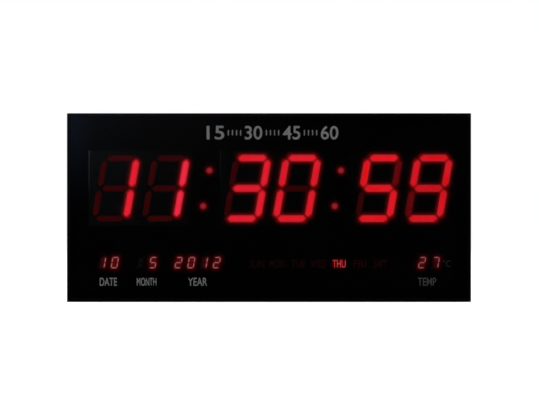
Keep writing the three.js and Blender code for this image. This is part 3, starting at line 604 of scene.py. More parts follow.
# %% Build the six big digits
WEB_THICK, WEB_OVERLAP, WEB_CORNER = 1.2, 0.2, 2
big_bars = []  # every bar's middle line before it is slanted, its digit's middle and its level
big_lines = []  # every bar's middle line in its place, its half width and its level
for digit in BIG_DIGITS:
    node = f"{digit}_resin"
    low, high = box(node)
    centre = middle(node)
    half_height = (high[2] - low[2]) / 2
    half_width = (high[0] - low[0]) / 2 - half_height * SLANT
    size = 2 * half_width * BIG_WIDTH_SHARE, 2 * half_height * BIG_HEIGHT_SHARE
    web_front = high[1] - WEB_THICK
    depths = low[1], web_front + WEB_OVERLAP
    pink = PINKNESS.get(digit, 0)
    bars = []
    for start, end, lit in digit_bars(digit, *size, BIG_STROKE, BIG_GAP):
        line = start, end, BIG_STROKE / 2
        bars.append(bar_solid(*line, BIG_CORNER, *depths, *centre[XZ], lit=lit, pink=pink))
        big_bars.append((start, end, *centre[XZ], lit))
        big_lines.append((spine(*line, centre), BIG_STROKE / 2, lit))
    field = rectangle(-half_width, -half_height, half_width, half_height, WEB_CORNER, 4)
    x, z = slanted(field, *centre[XZ]).T
    web = [np.stack([x, np.full(len(x), depth), z], 1) for depth in (web_front, high[1])]
    caps = np.arange(2 * len(x)).reshape(2, -1)
    web = Shape(np.concatenate(web), [grid(2, len(x)), caps], lit=0, core=0, pink=0)
    piece(f"{digit}_digit", joined([web, *bars]), resin, [node])
print("lit bars", sum(level > 0 for _, _, level in big_lines), "of", len(big_lines))

# %% [markdown]
# ## Flat sheets with holes
# The printed film, the rear panel and the small light modules are all flat solids with an outline,
# holes, and a face that is finer than its foot. A constrained triangulation takes outlines as
# edges that it must keep and loose points as extra detail. Each outline also says how far the face
# sinks there, which gives edges their rounding and screw holes their cone.


# %% Work on an outline
def drawn(outline, distance):
    """An outline moved outwards by a distance: each point goes along the sum of the normals of its
    two sides, made longer as the corner gets sharper."""
    normal = normals(outline)
    before = np.roll(normal, 1, axis=0)
    reach = 1 + (before * normal).sum(1)
    return outline + distance * (before + normal) / reach[:, None]


def inside(points, outline):
    """True where a line from a point to the right crosses the outline an odd number of times."""
    found = np.zeros(len(points), bool)
    near = ((points >= outline.min(0)) & (points <= outline.max(0))).all(1)
    x, z = points[near, :1], points[near, 1:]
    (x0, z0), (x1, z1) = outline.T, np.roll(outline, -1, axis=0).T
    spans = (z0 > z) != (z1 > z)
    rise = np.where(z1 == z0, 1, z1 - z0)
    found[near] = (spans & (x < x0 + (z - z0) * (x1 - x0) / rise)).sum(1) % 2 == 1
    return found


def dense(outline, spacing):
    """An outline whose sides are cut into equal steps, none longer than the spacing."""
    side = np.roll(outline, -1, axis=0) - outline
    counts = np.ceil(np.linalg.norm(side, axis=1) / spacing).astype(int)
    number = np.arange(counts.sum()) - np.repeat(np.cumsum(counts) - counts, counts)
    step = np.repeat(side / counts[:, None], counts, axis=0)
    return np.repeat(outline, counts, axis=0) + number[:, None] * step


# %% Make a sheet
def sheet(face, foot, outlines, holes=0, spots=None, values=None):
    """A flat solid from its face to its foot. Outlines are pairs of points and of how far the face
    sinks there. The first is the outer one, and the next ones are as many holes. Values are
    functions of the flat points."""
    spots = np.empty((0, 2)) if spots is None else spots
    flat = np.concatenate([outline for outline, _ in outlines] + [spots])
    starts = np.cumsum([0] + [len(outline) for outline, _ in outlines])
    edges = []
    for start, end in zip(starts[:-1], starts[1:]):
        numbers = np.arange(start, end)
        edges += np.stack([numbers, np.roll(numbers, -1)], 1).tolist()
    sinks = [np.full(len(outline), sink, float) for outline, sink in outlines]
    sinks = np.concatenate([*sinks, np.zeros(len(spots))])
    made = geometry.delaunay_2d_cdt([Vector(p) for p in flat.tolist()], edges, [], 0, 1e-5)
    points, triangles = np.array([tuple(v) for v in made[0]]), np.array(made[2])
    sink = np.array([sinks[origin[0]] if origin else 0 for origin in made[3]])
    centre = points[triangles].mean(1)
    kept = inside(centre, outlines[0][0])
    for hole, _ in outlines[1 : 1 + holes]:
        kept &= ~inside(centre, hole)
    used, triangles = np.unique(triangles[kept], return_inverse=True)
    points, sink, triangles = points[used], sink[used], triangles.reshape(-1, 3)
    count = len(points)
    directed = np.concatenate([triangles[:, [0, 1]], triangles[:, [1, 2]], triangles[:, [2, 0]]])
    there, back = directed @ [count, 1], directed @ [1, count]
    rim = directed[~np.isin(there, back)]
    walls = np.stack([rim[:, 1], rim[:, 0], rim[:, 0] + count, rim[:, 1] + count], 1)
    depths = np.concatenate([face + np.sign(foot - face) * sink, np.full(count, foot)])
    solid = np.stack([np.tile(points[:, 0], 2), depths, np.tile(points[:, 1], 2)], 1)
    shape = Shape(solid, [triangles, triangles[:, ::-1] + count, walls])
    shape.values = {name: np.tile(f(points), 2) for name, f in (values or {}).items()}
    return shape


# %% Circles, loose points and glow
def circle(x, z, radius, sides=24, turn=0.0):
    """Points at even angles round a middle, the first at a turn from the right."""
    angle = turn + np.arange(sides) * 2 * math.pi / sides
    return np.stack([x + radius * np.cos(angle), z + radius * np.sin(angle)], 1)


def lattice(low_x, low_z, high_x, high_z, spacing):
    """Loose points at even distances, clear of the edges."""
    x = np.arange(low_x + spacing / 2, high_x, spacing)
    z = np.arange(low_z + spacing / 2, high_z, spacing)
    return np.stack([part.ravel() for part in np.meshgrid(x, z)], 1)


def glow(points, sources, reach):
    """The sum over the lights of level times e to the minus distance over reach. The distance runs
    to the light's middle line, less its half width."""
    total = np.zeros(len(points))
    for (start, end), half, level in sources:
        along = end - start
        share = np.clip((points - start) @ along / max(along @ along, 1e-9), 0, 1)
        distance = np.linalg.norm(points - start - share[:, None] * along, axis=1) - half
        total += level * np.exp(-np.maximum(distance, 0) / reach)
    return total


# %% [markdown]
# ## Small digits and colons
# The calendar's digits are ready-made modules: a black block with thin bars in its face. Their
# bars look pale pink, because a thin bright line is mostly its own glare, and the face round them
# glows dark red. The value "glow" falls off from the bars, and the finish adds it as light. An
# unlit bar glows as the face round it does. The colon's dots are two round red lenses in a block
# of their own.

# %% Make the module finishes
SMALL_CORE, SMALL_EDGE = seen(144, 98, 102), seen(104, 40, 46)
DOT_CORE, DOT_EDGE = seen(158, 34, 48), seen(110, 24, 34)
GLOW_COLOUR = seen(138, 3, 6)[:3]
CLEAR_RESIN = (0.016, 0.001, 0.0015, 1)


def thin_light(name, core, edge):
    """Resin of thin bars and small lenses: the glare is palest along the middle."""
    finish = Finish(name, Base_Color=CLEAR_RESIN, Specular_IOR_Level=0.2)
    colour = finish.mix(finish.value("core"), edge, core)
    finish.shine((colour, finish.value("lit")), (GLOW_COLOUR, finish.value("glow")))
    finish.feed("Roughness", finish.noise(1) * 0.2 + 0.2)
    return finish


small_bars = thin_light("small_bars", SMALL_CORE, SMALL_EDGE)
dot_lens = thin_light("dot_lens", DOT_CORE, DOT_EDGE)
module_black = Finish("module_black", Roughness=0.62)
grain = module_black.noise(0.5, 3)
moulded = module_black.mix(grain.rise(0.3, 0.75), seen(15, 15, 16), seen(26, 26, 27))
module_black.feed("Base Color", moulded)
module_black.shine((GLOW_COLOUR, module_black.value("glow")))
module_black.bump(grain, 0.012)
print("lights of the modules", small_bars.material.name, dot_lens.material.name)

# %% Build the ten small digits
SMALL_WIDTH, SMALL_HEIGHT = 7.8, 13.2
SMALL_ROOT, SMALL_SHOULDER = 0.6, 0.1
MODULE_CORNER, MODULE_EDGE, MODULE_SINK = 0.5, 0.15, 0.25
SMALL_REACH, MODULE_REACH, MODULE_GLOW = 1.2, 2, 0.21


def module(name, node, inset, spacing, lights, reach, share=1):
    """A black block that stands for its node, with extra points where its face glows."""
    low, high = box(node)
    outer = rectangle(*low[XZ], *high[XZ], MODULE_CORNER)
    block = sheet(
        low[1] + MODULE_SINK,
        high[1],
        [(outer, MODULE_EDGE), (drawn(outer, -MODULE_EDGE), 0)],
        spots=lattice(*(low[XZ] + inset), *(high[XZ] - inset), spacing),
        values={"glow": lambda points: glow(points, lights, reach) * share},
    )
    piece(name, block, module_black, [node])


small_lines = []
half = SMALL_STROKE / 2
for digit in SMALL_DIGITS:
    node = digit.replace("_", "_digit_")
    centre = middle(node)
    front = box(node)[0][1]
    depths = front, front + SMALL_ROOT
    bars, lights = [], []
    for start, end, lit in digit_bars(digit, SMALL_WIDTH, SMALL_HEIGHT, SMALL_STROKE, SMALL_GAP):
        line = start, end, half
        place = *depths, *centre[XZ], SMALL_SHOULDER
        bars.append(bar_solid(*line, SMALL_CORNER, *place, lit=lit))
        if lit:
            lights.append((spine(*line, centre), half, lit))
    for bar in bars:
        near = glow(bar.points[:, XZ], lights, MODULE_REACH) * MODULE_GLOW
        bar.values["glow"] = near * (1 - bar.values["lit"])
    small_lines += lights
    module(f"{digit}_module", node, 0.3, 0.6, lights, MODULE_REACH, MODULE_GLOW)
    piece(f"{digit}_bars", joined(bars), small_bars)
print("small lit bars", len(small_lines))

# %% Build the two colons
COLON_SPREAD, DOT_RADIUS, DOT_DOME, DOT_ROOT = 40.6, 3.4, 0.2, 0.8
DOT_SIDES, DOT_LEVEL = 24, 0.5


def turned(profile, sides, centre, axis=1, **values):
    """A profile of (radius, place along the axis) swung round an axis through a middle point."""
    profile = np.asarray(profile, float)
    angle = np.arange(sides) * 2 * math.pi / sides
    around = [profile[:, :1] * np.cos(angle), profile[:, :1] * np.sin(angle)]
    along = np.broadcast_to(profile[:, 1:], around[0].shape)
    spare = [i for i in range(3) if i != axis]
    points = np.zeros((*along.shape, 3))
    points[..., axis] = along
    for i, part in zip(spare, around):
        points[..., i] = centre[i] + part
    return Shape(points.reshape(-1, 3), grid(len(profile), sides), **values)


colon_lines = []
for node in ("colon_1", "colon_2"):
    front = box(node)[0][1]
    dots = slanted([(0, -COLON_SPREAD / 2), (0, COLON_SPREAD / 2)], *middle(node)[XZ])
    lights = [(np.array([dot, dot]), DOT_RADIUS, DOT_LEVEL) for dot in dots]
    colon_lines += lights
    module(f"{node}_block", node, 1, 1.5, lights, SMALL_REACH)
    share = np.linspace(1, 0, 7)
    lens = [(DOT_RADIUS, front + DOT_ROOT), (DOT_RADIUS, front + DOT_DOME)]
    lens += [(DOT_RADIUS * s, front + DOT_DOME * s * s) for s in share]
    core = np.repeat([0, 0, *(1 - share)], DOT_SIDES)
    lenses = [turned(lens, DOT_SIDES, (x, 0, z), core=core, lit=1) for x, z in dots]
    piece(f"{node}_lenses", joined(lenses), dot_lens)
print("colon dots", len(colon_lines))

# %% [markdown]
# ## The printed film
# Behind the sheet lies a black film with a clear window for every bar. Light creeps sideways in
# the layers, so each lit bar has a red halo on the film that is gone within a few millimetres. The
# film's triangles are small round the bars, where the halo changes fast, and large elsewhere. Over
# the blocks of big digits the film is painted faintly greyer as painted light, strongest on the
# hours and fading towards the right, with a paler painted highlight up each block's left rim.

# %% Cut the windows
HALO_STEPS = (0.5, 1.1, 1.9, 3, 4.5, 6.5)  # rings of extra points round what is lit
HALO_SPACING = 1.6
WINDOW_FIT = 0.1
SMALL_WINDOW_FIT, SMALL_WINDOW_CORNER = 0.3, 0.8
WEEKDAYS = {"SUN": 17.2, "MON": 17.6, "TUE": 16, "WED": 17.6, "THU": 14.9, "FRI": 14, "SAT": 15.6}
WEEKDAY_PITCH, WEEKDAY_CAP = 23.5, 8.8
TODAY_INSET, TODAY_LEVEL = 1, 0.5
TODAY_MARGIN, TODAY_SPACING = 14, 1.2
FIELD_RIM, FIELD_CORNER, FIELD_SPACING = 1.4, 0.04, 4
FIELD_INSETS = (-0.05, 0.05, FIELD_RIM, FIELD_RIM + 0.1)  # pairs keep a field's edges sharp
# Painted light: how bright the film's painted grey field is over each block, falling from left to
# right.
PAINTED_FIELD_LEVELS = {"hours": 1, "minutes": 0.35, "seconds": 0.15}

windows, halo_spots = [], []


def window(outline, lit, x, z):
    """Cuts an upright outline, and lays rings of extra points round it if it is lit."""
    windows.append(slanted(dense(outline, HALO_SPACING), x, z))
    for step in HALO_STEPS if lit else ():
        halo_spots.append(slanted(dense(drawn(outline, step), HALO_SPACING), x, z))


for start, end, x, z, lit in big_bars:
    window(bar_outline(start, end, BIG_STROKE / 2 + WINDOW_FIT, BIG_CORNER), lit, x, z)
for (dot, _), radius, _ in colon_lines:
    windows.append(circle(*dot, radius + WINDOW_FIT))
    halo_spots += [circle(*dot, radius + step) for step in HALO_STEPS]
small_corner = np.array([SMALL_WIDTH, SMALL_HEIGHT]) / 2 + SMALL_WINDOW_FIT
small_window = rectangle(*-small_corner, *small_corner, SMALL_WINDOW_CORNER)
for digit in SMALL_DIGITS:
    window(small_window, READING[digit] != " ", *middle(digit.replace("_", "_digit_"))[XZ])

weekday_middle = middle("weekday_light_bar")
middle_day = (len(WEEKDAYS) - 1) / 2
day_shifts = {day: (i - middle_day) * WEEKDAY_PITCH for i, day in enumerate(WEEKDAYS)}
weekday_x = {day: weekday_middle[0] + shift for day, shift in day_shifts.items()}
today_line = np.array([[-0.5, 0], [0.5, 0]]) * (WEEKDAYS[TODAY] - WEEKDAY_CAP)
today_line += [weekday_x[TODAY], weekday_middle[2]]
today_light = (today_line, WEEKDAY_CAP / 2 - TODAY_INSET, TODAY_LEVEL)
today_area = *(today_line[0] - TODAY_MARGIN), *(today_line[1] + TODAY_MARGIN)
halo_spots.append(lattice(*today_area, TODAY_SPACING))

fields, field_outlines = [], []
for name, field_level in PAINTED_FIELD_LEVELS.items():
    low, high = (corner[XZ] for corner in box(f"{name}_housing"))
    fields.append((low, high, field_level))
    for inset in FIELD_INSETS:
        outline = rectangle(*(low + inset), *(high - inset), FIELD_CORNER, 1)
        field_outlines.append((dense(outline, FIELD_SPACING), 0))
print("windows", len(windows), "loose points", sum(len(spots) for spots in halo_spots))

# %% Print the film
FILM_SPACING, FILM_CORNER, FILM_MARGIN = 7, 1, 0.5
HALO_REACH, SMALL_HALO, TODAY_HALO, TODAY_REACH = 1, 0.22, 0.58, 1.1
# The painted light of a field fades by this share towards its right side.
PAINTED_LIGHT_FADE = 0.7  # how much of a field is gone at its right side
RIM_FIT = 0.06  # so that the rim takes in the points on its own inner edge


def in_blocks(points, share_at):
    """Inside a block of big digits, its level times a share, which is a function of the distance
    from the block's left side and of the way across and up it, both from 0 to 1."""
    total = np.zeros(len(points))
    for low, high, field_level in fields:
        within = ((points > low) & (points < high)).all(1)
        across, up = ((points - low) / (high - low)).T
        total += within * field_level * share_at(points[:, 0] - low[0], across, up)
    return total


def field_value(points):
    """Painted light over the blocks: a share that falls to the right, 1 less the fade times the way
    across.
    """
    return in_blocks(points, lambda distance, across, up: 1 - PAINTED_LIGHT_FADE * across)


def rim_value(points):
    """A painted highlight on the left rim: a share of twice the way up less 0.8, kept between 0 and 1.
    """

    def share_at(distance, across, up):
        return (distance < FIELD_RIM + RIM_FIT) * np.clip(2 * up - 0.8, 0, 1)

    return in_blocks(points, share_at)


def film_glow(points):
    """The halos of everything that is lit."""
    big = glow(points, big_lines, HALO_REACH) + glow(points, colon_lines, HALO_REACH)
    small = glow(points, small_lines, SMALL_REACH) * SMALL_HALO
    return big + small + glow(points, [today_light], TODAY_REACH) * TODAY_HALO


outer = rectangle(*mask_low[XZ], *mask_high[XZ], FILM_CORNER)
loose = np.concatenate([*halo_spots, lattice(*mask_low[XZ], *mask_high[XZ], FILM_SPACING)])
film_shape = sheet(
    mask_low[1],
    mask_high[1],
    [(outer, 0), *((hole, 0) for hole in windows), *field_outlines],
    len(windows),
    loose[inside(loose, drawn(outer, -FILM_MARGIN))],
    {"glow": film_glow, "field": field_value, "rim": rim_value},
)
film = Finish("black_film", Roughness=0.5, Specular_IOR_Level=0.08)
cloudy = film.noise(60, 3).rise(0.35, 0.7)
ink_colour = film.mix(cloudy, seen(3, 3, 3), seen(6, 6, 7))
# Painted light: the film is painted greyer over the blocks of big digits.
with_painted_light = film.mix(film.value("field"), ink_colour, seen(26, 29, 31))
# A paler painted highlight runs up the left rim of each block.
film.feed("Base Color", film.mix(film.value("rim"), with_painted_light, seen(78, 78, 84)))
film.shine((GLOW_COLOUR, film.value("glow")))
film.bump(film.noise(0.35, 2), 0.001)
piece("black_film", film_shape, film, ["printed_mask"])
print("film triangles", sum(len(part) for part in film_shape.faces))

# %% [markdown]
# ## Words and figures on the face
# The names under the calendar's digits are printed in pale ink on the back of the smoked sheet. A
# plain row of seconds, with short ticks, is printed above the big digits. The weekdays are letters
# left clear in the film, with resin behind: the one for today is lit, and the others are almost
# lost. Each word is Blender's own lettering, made a mesh, and fitted to a height and a width.


# %% Shape the words
def points_of(mesh):
    """All points of a mesh as one array."""
    places = np.empty(3 * len(mesh.vertices))
    mesh.vertices.foreach_get("co", places)
    return places.reshape(-1, 3)


def lettering(words, x, z, cap_height, width, front, rear, bold=0.0):
    """Words as a thin solid, stretched to a height and a width about its middle."""
    curve = bpy.data.curves.new("words", "FONT")
    curve.body = words
    curve.offset = bold
    curve.extrude = 0.5
    curve.resolution_u = 4
    maker = bpy.data.objects.new("words", curve)
    scene.collection.objects.link(maker)
    bpy.context.view_layer.update()
    evaluated = maker.evaluated_get(bpy.context.evaluated_depsgraph_get())
    mesh = bpy.data.meshes.new_from_object(evaluated)
    letters = points_of(mesh)
    sides = [list(polygon.vertices) for polygon in mesh.polygons]
    bpy.data.objects.remove(maker)
    share = (letters - letters.min(0)) / (letters.max(0) - letters.min(0))
    across, up = x + (share[:, 0] - 0.5) * width, z + (share[:, 1] - 0.5) * cap_height
    points = np.stack([across, rear + (front - rear) * share[:, 2], up], axis=1)
    return Shape(points, [np.array([s for s in sides if len(s) == n]) for n in set(map(len, sides))])


def pale_ink(name, tone):
    """Screen ink of one tone, a little thinner in places."""
    finish = Finish(name, Roughness=0.6)
    thin = finish.noise(1.2, 2).rise(0.2, 0.8)
    darker = tuple(0.8 * part for part in tone[:3]) + (1,)
    finish.feed("Base Color", finish.mix(thin, darker, tone))
    return finish


# %% Print the labels
INK_FRONT, INK_REAR = window_rear + 0.02, window_rear + 0.06
LABEL_Z, LABEL_CAP, LABEL_BOLD = 23, 9.1, 0.004
DEGREE_GAP, DEGREE_WIDTH, DEGREE_CAP, DEGREE_DROP = 2, 8.6, 8, 1

label_ink = pale_ink("label_ink", (0.95, 1, 1, 1))
# The TEMP label's ink is darker as painted shade, where the light falls off towards the right.
painted_shade_ink = pale_ink("painted_shade_ink", grey(0.27, 0.31))
LABELS = {  # words, the digits that they stand under, the width, the way off their middle, ink
    "date_label": ("DATE", ("date_digit_1", "date_digit_2"), 19.5, 0, label_ink),
    "month_label": ("MONTH", ("month_digit_1", "month_digit_2"), 22.3, 0, label_ink),
    "year_label": ("YEAR", ("year_digit_1", "year_digit_4"), 21.7, 0, label_ink),
    "temperature_label": (
        "TEMP", ("temperature_digit_1", "temperature_digit_2"), 20.9, -2.2, painted_shade_ink
    ),
}
for name, (words, over, width, aside, ink) in LABELS.items():
    size = LABEL_Z, LABEL_CAP, width, INK_FRONT, INK_REAR, LABEL_BOLD
    piece(name, lettering(words, middle(*over)[0] + aside, *size), ink)
degree_x = box("temperature_digit_2")[1][0] + DEGREE_GAP + DEGREE_WIDTH / 2
degree_z = middle("temperature_digit_2")[2] - DEGREE_DROP
size = degree_z, DEGREE_CAP, DEGREE_WIDTH, INK_FRONT, INK_REAR
degree = lettering("\u00b0C", degree_x, *size)
# The degree sign's ink is darker still as painted shade, further towards the right.
piece("degree_label", degree, pale_ink("painted_shade_degree_ink", grey(0.09)))
print("labels", *(words for words, *_ in LABELS.values()))

# %% Print the row of seconds
SECONDS = (15, 30, 45, 60)
SCALE_X, SCALE_Z, SCALE_CAP, SCALE_WIDTH, SCALE_BOLD = 4, 192.9, 15.6, 150, 0.01
FIGURE_WIDTH, TICK_COUNT, TICK_WIDTH, TICK_HEIGHT, TICK_CORNER = 20, 4, 1.2, 6, 0.2
figure_pitch = (SCALE_WIDTH - FIGURE_WIDTH) / (len(SECONDS) - 1)
tick_shares = np.arange(1, TICK_COUNT + 1) / (TICK_COUNT + 1)
tick = np.array([TICK_WIDTH, TICK_HEIGHT]) / 2
row = []
for i, second in enumerate(SECONDS):
    x = SCALE_X + (i - (len(SECONDS) - 1) / 2) * figure_pitch
    size = SCALE_Z, SCALE_CAP, FIGURE_WIDTH, INK_FRONT, INK_REAR, SCALE_BOLD
    row.append(lettering(str(second), x, *size))
    for share in tick_shares if i < len(SECONDS) - 1 else ():
        place = x + FIGURE_WIDTH / 2 + (figure_pitch - FIGURE_WIDTH) * share, SCALE_Z
        mark = rectangle(*(place - tick), *(place + tick), TICK_CORNER)
        row.append(sheet(INK_FRONT, INK_REAR, [(mark, 0)]))
piece("seconds_row", joined(row), pale_ink("seconds_ink", grey(0.86, 0.88)))
print("figures and ticks", len(row))

# %% Light the weekday
LETTER_FRONT, LETTER_REAR, LETTER_BOLD = mask_low[1] - 0.03, mask_low[1] + 0.1, 0.003
DUSKY_REDS = (0.072, 0.009, 0.011, 1), (0.086, 0.011, 0.013, 1)

unlit_letters = Finish("unlit_letters", Roughness=0.5, Specular_IOR_Level=0.1)
dusk = unlit_letters.mix(unlit_letters.noise(3).rise(0.3, 0.7), *DUSKY_REDS)
unlit_letters.feed("Base Color", dusk)
today_letters = Finish("today_letters", Roughness=0.4, Base_Color=(0.2, 0.012, 0.016, 1))
patchy = today_letters.noise(3).rise(0.3, 0.7)
today_colour = today_letters.mix(patchy, seen(156, 40, 47), seen(176, 62, 69))
today_letters.shine((today_colour, (1, 1, 1)))
for day, x in weekday_x.items():
    size = weekday_middle[2], WEEKDAY_CAP, WEEKDAYS[day], LETTER_FRONT, LETTER_REAR, LETTER_BOLD
    finish = today_letters if day == TODAY else unlit_letters
    piece(f"weekday_{day.lower()}", lettering(day, x, *size), finish)
print("weekdays", *weekday_x)

# %% [markdown]
# ## The smoked sheet
# The front is one sheet of smoked acrylic. It is black and glossy, and lets through a part of the
# light on each of its two faces, so a lit bar behind it shines and an unlit one is almost lost. The
# packed sheet has the right shape, so it only gets this finish. Its polish is a little uneven.


# %% Smoke the front sheet
def dress(finish, *names):
    """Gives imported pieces, which keep their shape, a finish."""
    for name in names:
        for part in nodes[name].material_slots:
            part.material = finish.material


smoked = Finish("smoked_sheet", Base_Color=grey(0.0002, 0.0003), Alpha=WINDOW_ALPHA)
smoked.feed("Roughness", smoked.noise(90, 2).rise(0.3, 0.7) * 0.03 + 0.02)
smoked.bump(smoked.noise(110, 1), 0.02)
dress(smoked, "front_window")
print("the sheet lets through", round(clearness, 4), "of the light")

# %% [markdown]
# ## Softened copies
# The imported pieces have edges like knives. A copy of one is merged into a whole surface, its flat
# sides become single faces, and a Bevel modifier rounds what is left of its edges. Hardened normals
# keep the flat sides flat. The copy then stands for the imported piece.

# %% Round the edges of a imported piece
FLAT_ANGLE, EDGE_ANGLE = 1, 30


def softened(piece_name, node, finish, radius):
    """A merged copy of a node, with its edges rounded."""
    mesh = nodes[node].data.copy()
    mesh.name = piece_name
    mend(mesh, FLAT_ANGLE)
    mesh.materials.clear()
    mesh.materials.append(finish.material)
    shade(mesh, EDGE_ANGLE)
    thing = bpy.data.objects.new(piece_name, mesh)
    edge = thing.modifiers.new("edge", "BEVEL")
    edge.width = radius * MM
    edge.segments = 2
    edge.limit_method = "ANGLE"
    edge.angle_limit = math.radians(EDGE_ANGLE)
    edge.harden_normals = True
    hang(thing, "case", [node])
    print(piece_name, "rounded by", radius)


# %% [markdown]
# ## The frame
# Four black mitred rails hold everything. They are anodised aluminium, drawn through a die, so they
# carry very fine lines along their length. The black is deep, and a little worn and greyer where
# the case is handled: along its outer edges.

# %% Finish the rails
RAIL_EDGE = 0.15


def anodised(name, along):
    """Deep black metal with fine lines along one axis. Wear comes within a fraction of a millimetre
    of an outer edge, where the distances to two of the case's sides are both small."""
    finish = Finish(name, Specular_IOR_Level=0.25)
    lines = finish.noise(0.25, 3, tuple(0.004 if axis == along else 1 for axis in range(3)))
    half_size, centre = (case_high - case_low) / 2, (0, 0, case_height / 2)
    inward = [half_size[i] - abs(axis - centre[i]) for i, axis in enumerate(finish.axes())]
    nearest_two = inward[1].most(inward[0].least(inward[2]))
    wear = nearest_two.rise(0.7, 0.15) * finish.noise(2.5, 4).rise(0.5, 0.75)
    black = finish.mix(lines, grey(0.0006, 0.0007), grey(0.0016, 0.0018))
    finish.feed("Base Color", finish.mix(wear * 0.5, black, grey(0.008, 0.009)))
    blotches = finish.noise(35, 3)
    finish.feed("Roughness", lines * 0.08 + blotches * 0.04 + wear * 0.15 + 0.06)
    finish.bump(lines, 0.004, 0.5)
    return finish


lying, standing = anodised("anodised_lying", 0), anodised("anodised_standing", 2)
for rail, finish in zip(RAILS, (lying, lying, standing, standing)):
    softened(rail.removeprefix("frame_"), rail, finish, RAIL_EDGE)

# %% [markdown]
# ## The rear panel
# The back is a black moulded panel with two keyholes to hang it by, two groups of slots that let
# warm air out, a small grille for the beeper, six countersunk screws, and a shallow recess with a
# blank label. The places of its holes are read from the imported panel's flat back: each closed
# outline there is one hole. The holes are drawn again with fine arcs and rounded edges.


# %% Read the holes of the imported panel
def outline_boxes(name, depth):
    """The lowest and highest X and Z of each closed outline of a node's flat face at one depth. An
    edge that only one of the face's triangles has is on an outline, and leads to the next."""
    mesh = nodes[name].data
    corners = np.empty(len(mesh.loops), int)
    mesh.loops.foreach_get("vertex_index", corners)
    places = (points_of(mesh) / MM).round(2)
    places, same = np.unique(places, axis=0, return_inverse=True)
    triangles = same.ravel()[corners].reshape(-1, 3)
    flat = triangles[(abs(places[triangles, 1] - depth) < 0.02).all(1)]
    edges = {pair for a, b, c in flat.tolist() for pair in ((a, b), (b, c), (c, a))}
    following = {a: b for a, b in edges if (b, a) not in edges}
    boxes = []
    while following:
        chain = [next(iter(following))]
        while chain[-1] in following:
            chain.append(following.pop(chain[-1]))
        outline = places[chain][:, XZ]
        boxes.append((outline.min(0), outline.max(0)))
    return sorted(boxes, key=lambda box: (*box[0], *box[1]))


panel_low, panel_high = box("rear_panel")
panel_back = panel_high[1]
panel_boxes = outline_boxes("rear_panel", panel_back)
print("outlines on the rear panel", len(panel_boxes))

# %% Round the edges of a hole
PANEL_THICK, PANEL_CORNER = 2.5, 0.8
KEYHOLE_SLOT = 2.5  # half the width of the slot
SCREW_HOLE, SCREW_HOLE_SINK = 1.8, 1.62
PANEL_EDGE, HOLE_EDGE = 0.5, 0.35
LABEL_DEEP, LABEL_DRAFT, RECESS_CORNER = 0.5, 0.08, 2
MOST_VENT_SHARE = 0.3  # a vent's slot is narrower than this share of its height
MOST_KEYHOLE_SHARE = 0.8
LEAST_LABEL, LEAST_SCREW = 50, 4  # widths, which tell the label's recess and the screws' holes


def eased(outline, radius, side):
    """An edge rounded over. At a share s of the radius beside the outline the face has sunk by the
    radius times 1 - sqrt(1 - (1 - s)^2). Side is 1 round a hole and -1 for the outer edge."""
    shares = (0, 0.12, 0.4, 1)
    sinks = [radius * (1 - math.sqrt(1 - (1 - share) ** 2)) for share in shares]
    return [(drawn(outline, side * radius * s), sink) for s, sink in zip(shares, sinks)]


def keyhole(low, high):
    """A round mouth with a narrower slot above it, anticlockwise from the left of its neck."""
    mouth = (high[0] - low[0]) / 2
    x, z = low[0] + mouth, low[1] + mouth
    neck = math.asin(KEYHOLE_SLOT / mouth)
    below = np.linspace(math.pi / 2 + neck, 2.5 * math.pi - neck, 33)
    above = np.linspace(0, math.pi, 17)
    slot_top = high[1] - KEYHOLE_SLOT
    mouth_points = [x + mouth * np.cos(below), z + mouth * np.sin(below)]
    slot_points = [x + KEYHOLE_SLOT * np.cos(above), slot_top + KEYHOLE_SLOT * np.sin(above)]
    return np.concatenate([mouth_points, slot_points], axis=1).T


# %% Draw the holes again
holes, creases = [], []
for low, high in panel_boxes:
    width, height = high - low
    x, z = (low + high) / 2
    if height > case_height / 2:
        continue
    if width > LEAST_LABEL:
        label_low, label_high = low, high
        recess = rectangle(*low, *high, RECESS_CORNER, 6)
        creases += [(drawn(recess, LABEL_DRAFT), 0), (drawn(recess, -LABEL_DRAFT), LABEL_DEEP)]
        continue
    if width < MOST_VENT_SHARE * height:
        hole = rectangle(*low, *high, width / 2 - 0.01, 8)
    elif width < MOST_KEYHOLE_SHARE * height:
        hole = keyhole(low, high)
    elif width > LEAST_SCREW:
        holes.append((circle(x, z, SCREW_HOLE, 32), SCREW_HOLE_SINK))
        creases.append((circle(x, z, width / 2, 32), 0))
        continue
    else:
        hole = circle(x, z, width / 2)
    first, *others = eased(hole, HOLE_EDGE, 1)
    holes.append(first)
    creases += others
edge = rectangle(*panel_low[XZ], *panel_high[XZ], PANEL_CORNER, 4)
first, *others = eased(edge, PANEL_EDGE, -1)
panel_front = panel_back - PANEL_THICK
panel = sheet(panel_back, panel_front, [first, *holes, *others, *creases], len(holes))
print("holes", len(holes), "label", label_low, label_high)

# %% Stand the pillars on the panel
PILLAR_RADIUS, PEG_RADIUS, PEG_TIP = 3.5, 1.3, 0.25
BOARD_TO_PILLAR = 0.3
PILLAR_INSET = 17, 12.7  # from the sides, and from the top and bottom, of the board
board_low, board_high = box("main_circuit_board")
pillar_foot = board_high[1] + BOARD_TO_PILLAR
peg_foot = panel_low[1]
pillar_profile = [
    (0, peg_foot),
    (PEG_RADIUS - PEG_TIP, peg_foot),
    (PEG_RADIUS, peg_foot + PEG_TIP),
    (PEG_RADIUS, pillar_foot),
    (PILLAR_RADIUS - PEG_TIP, pillar_foot),
    (PILLAR_RADIUS, pillar_foot + PEG_TIP),
    (PILLAR_RADIUS, panel_front),
    (0, panel_front),
]
(left, bottom), (right, top) = board_low[XZ] + PILLAR_INSET, board_high[XZ] - PILLAR_INSET
places = [(x, 0, z) for x in (left, 0, right) for z in (bottom, top)]
pillars = [turned(pillar_profile, 24, place) for place in places]
print("pillars", len(pillars))

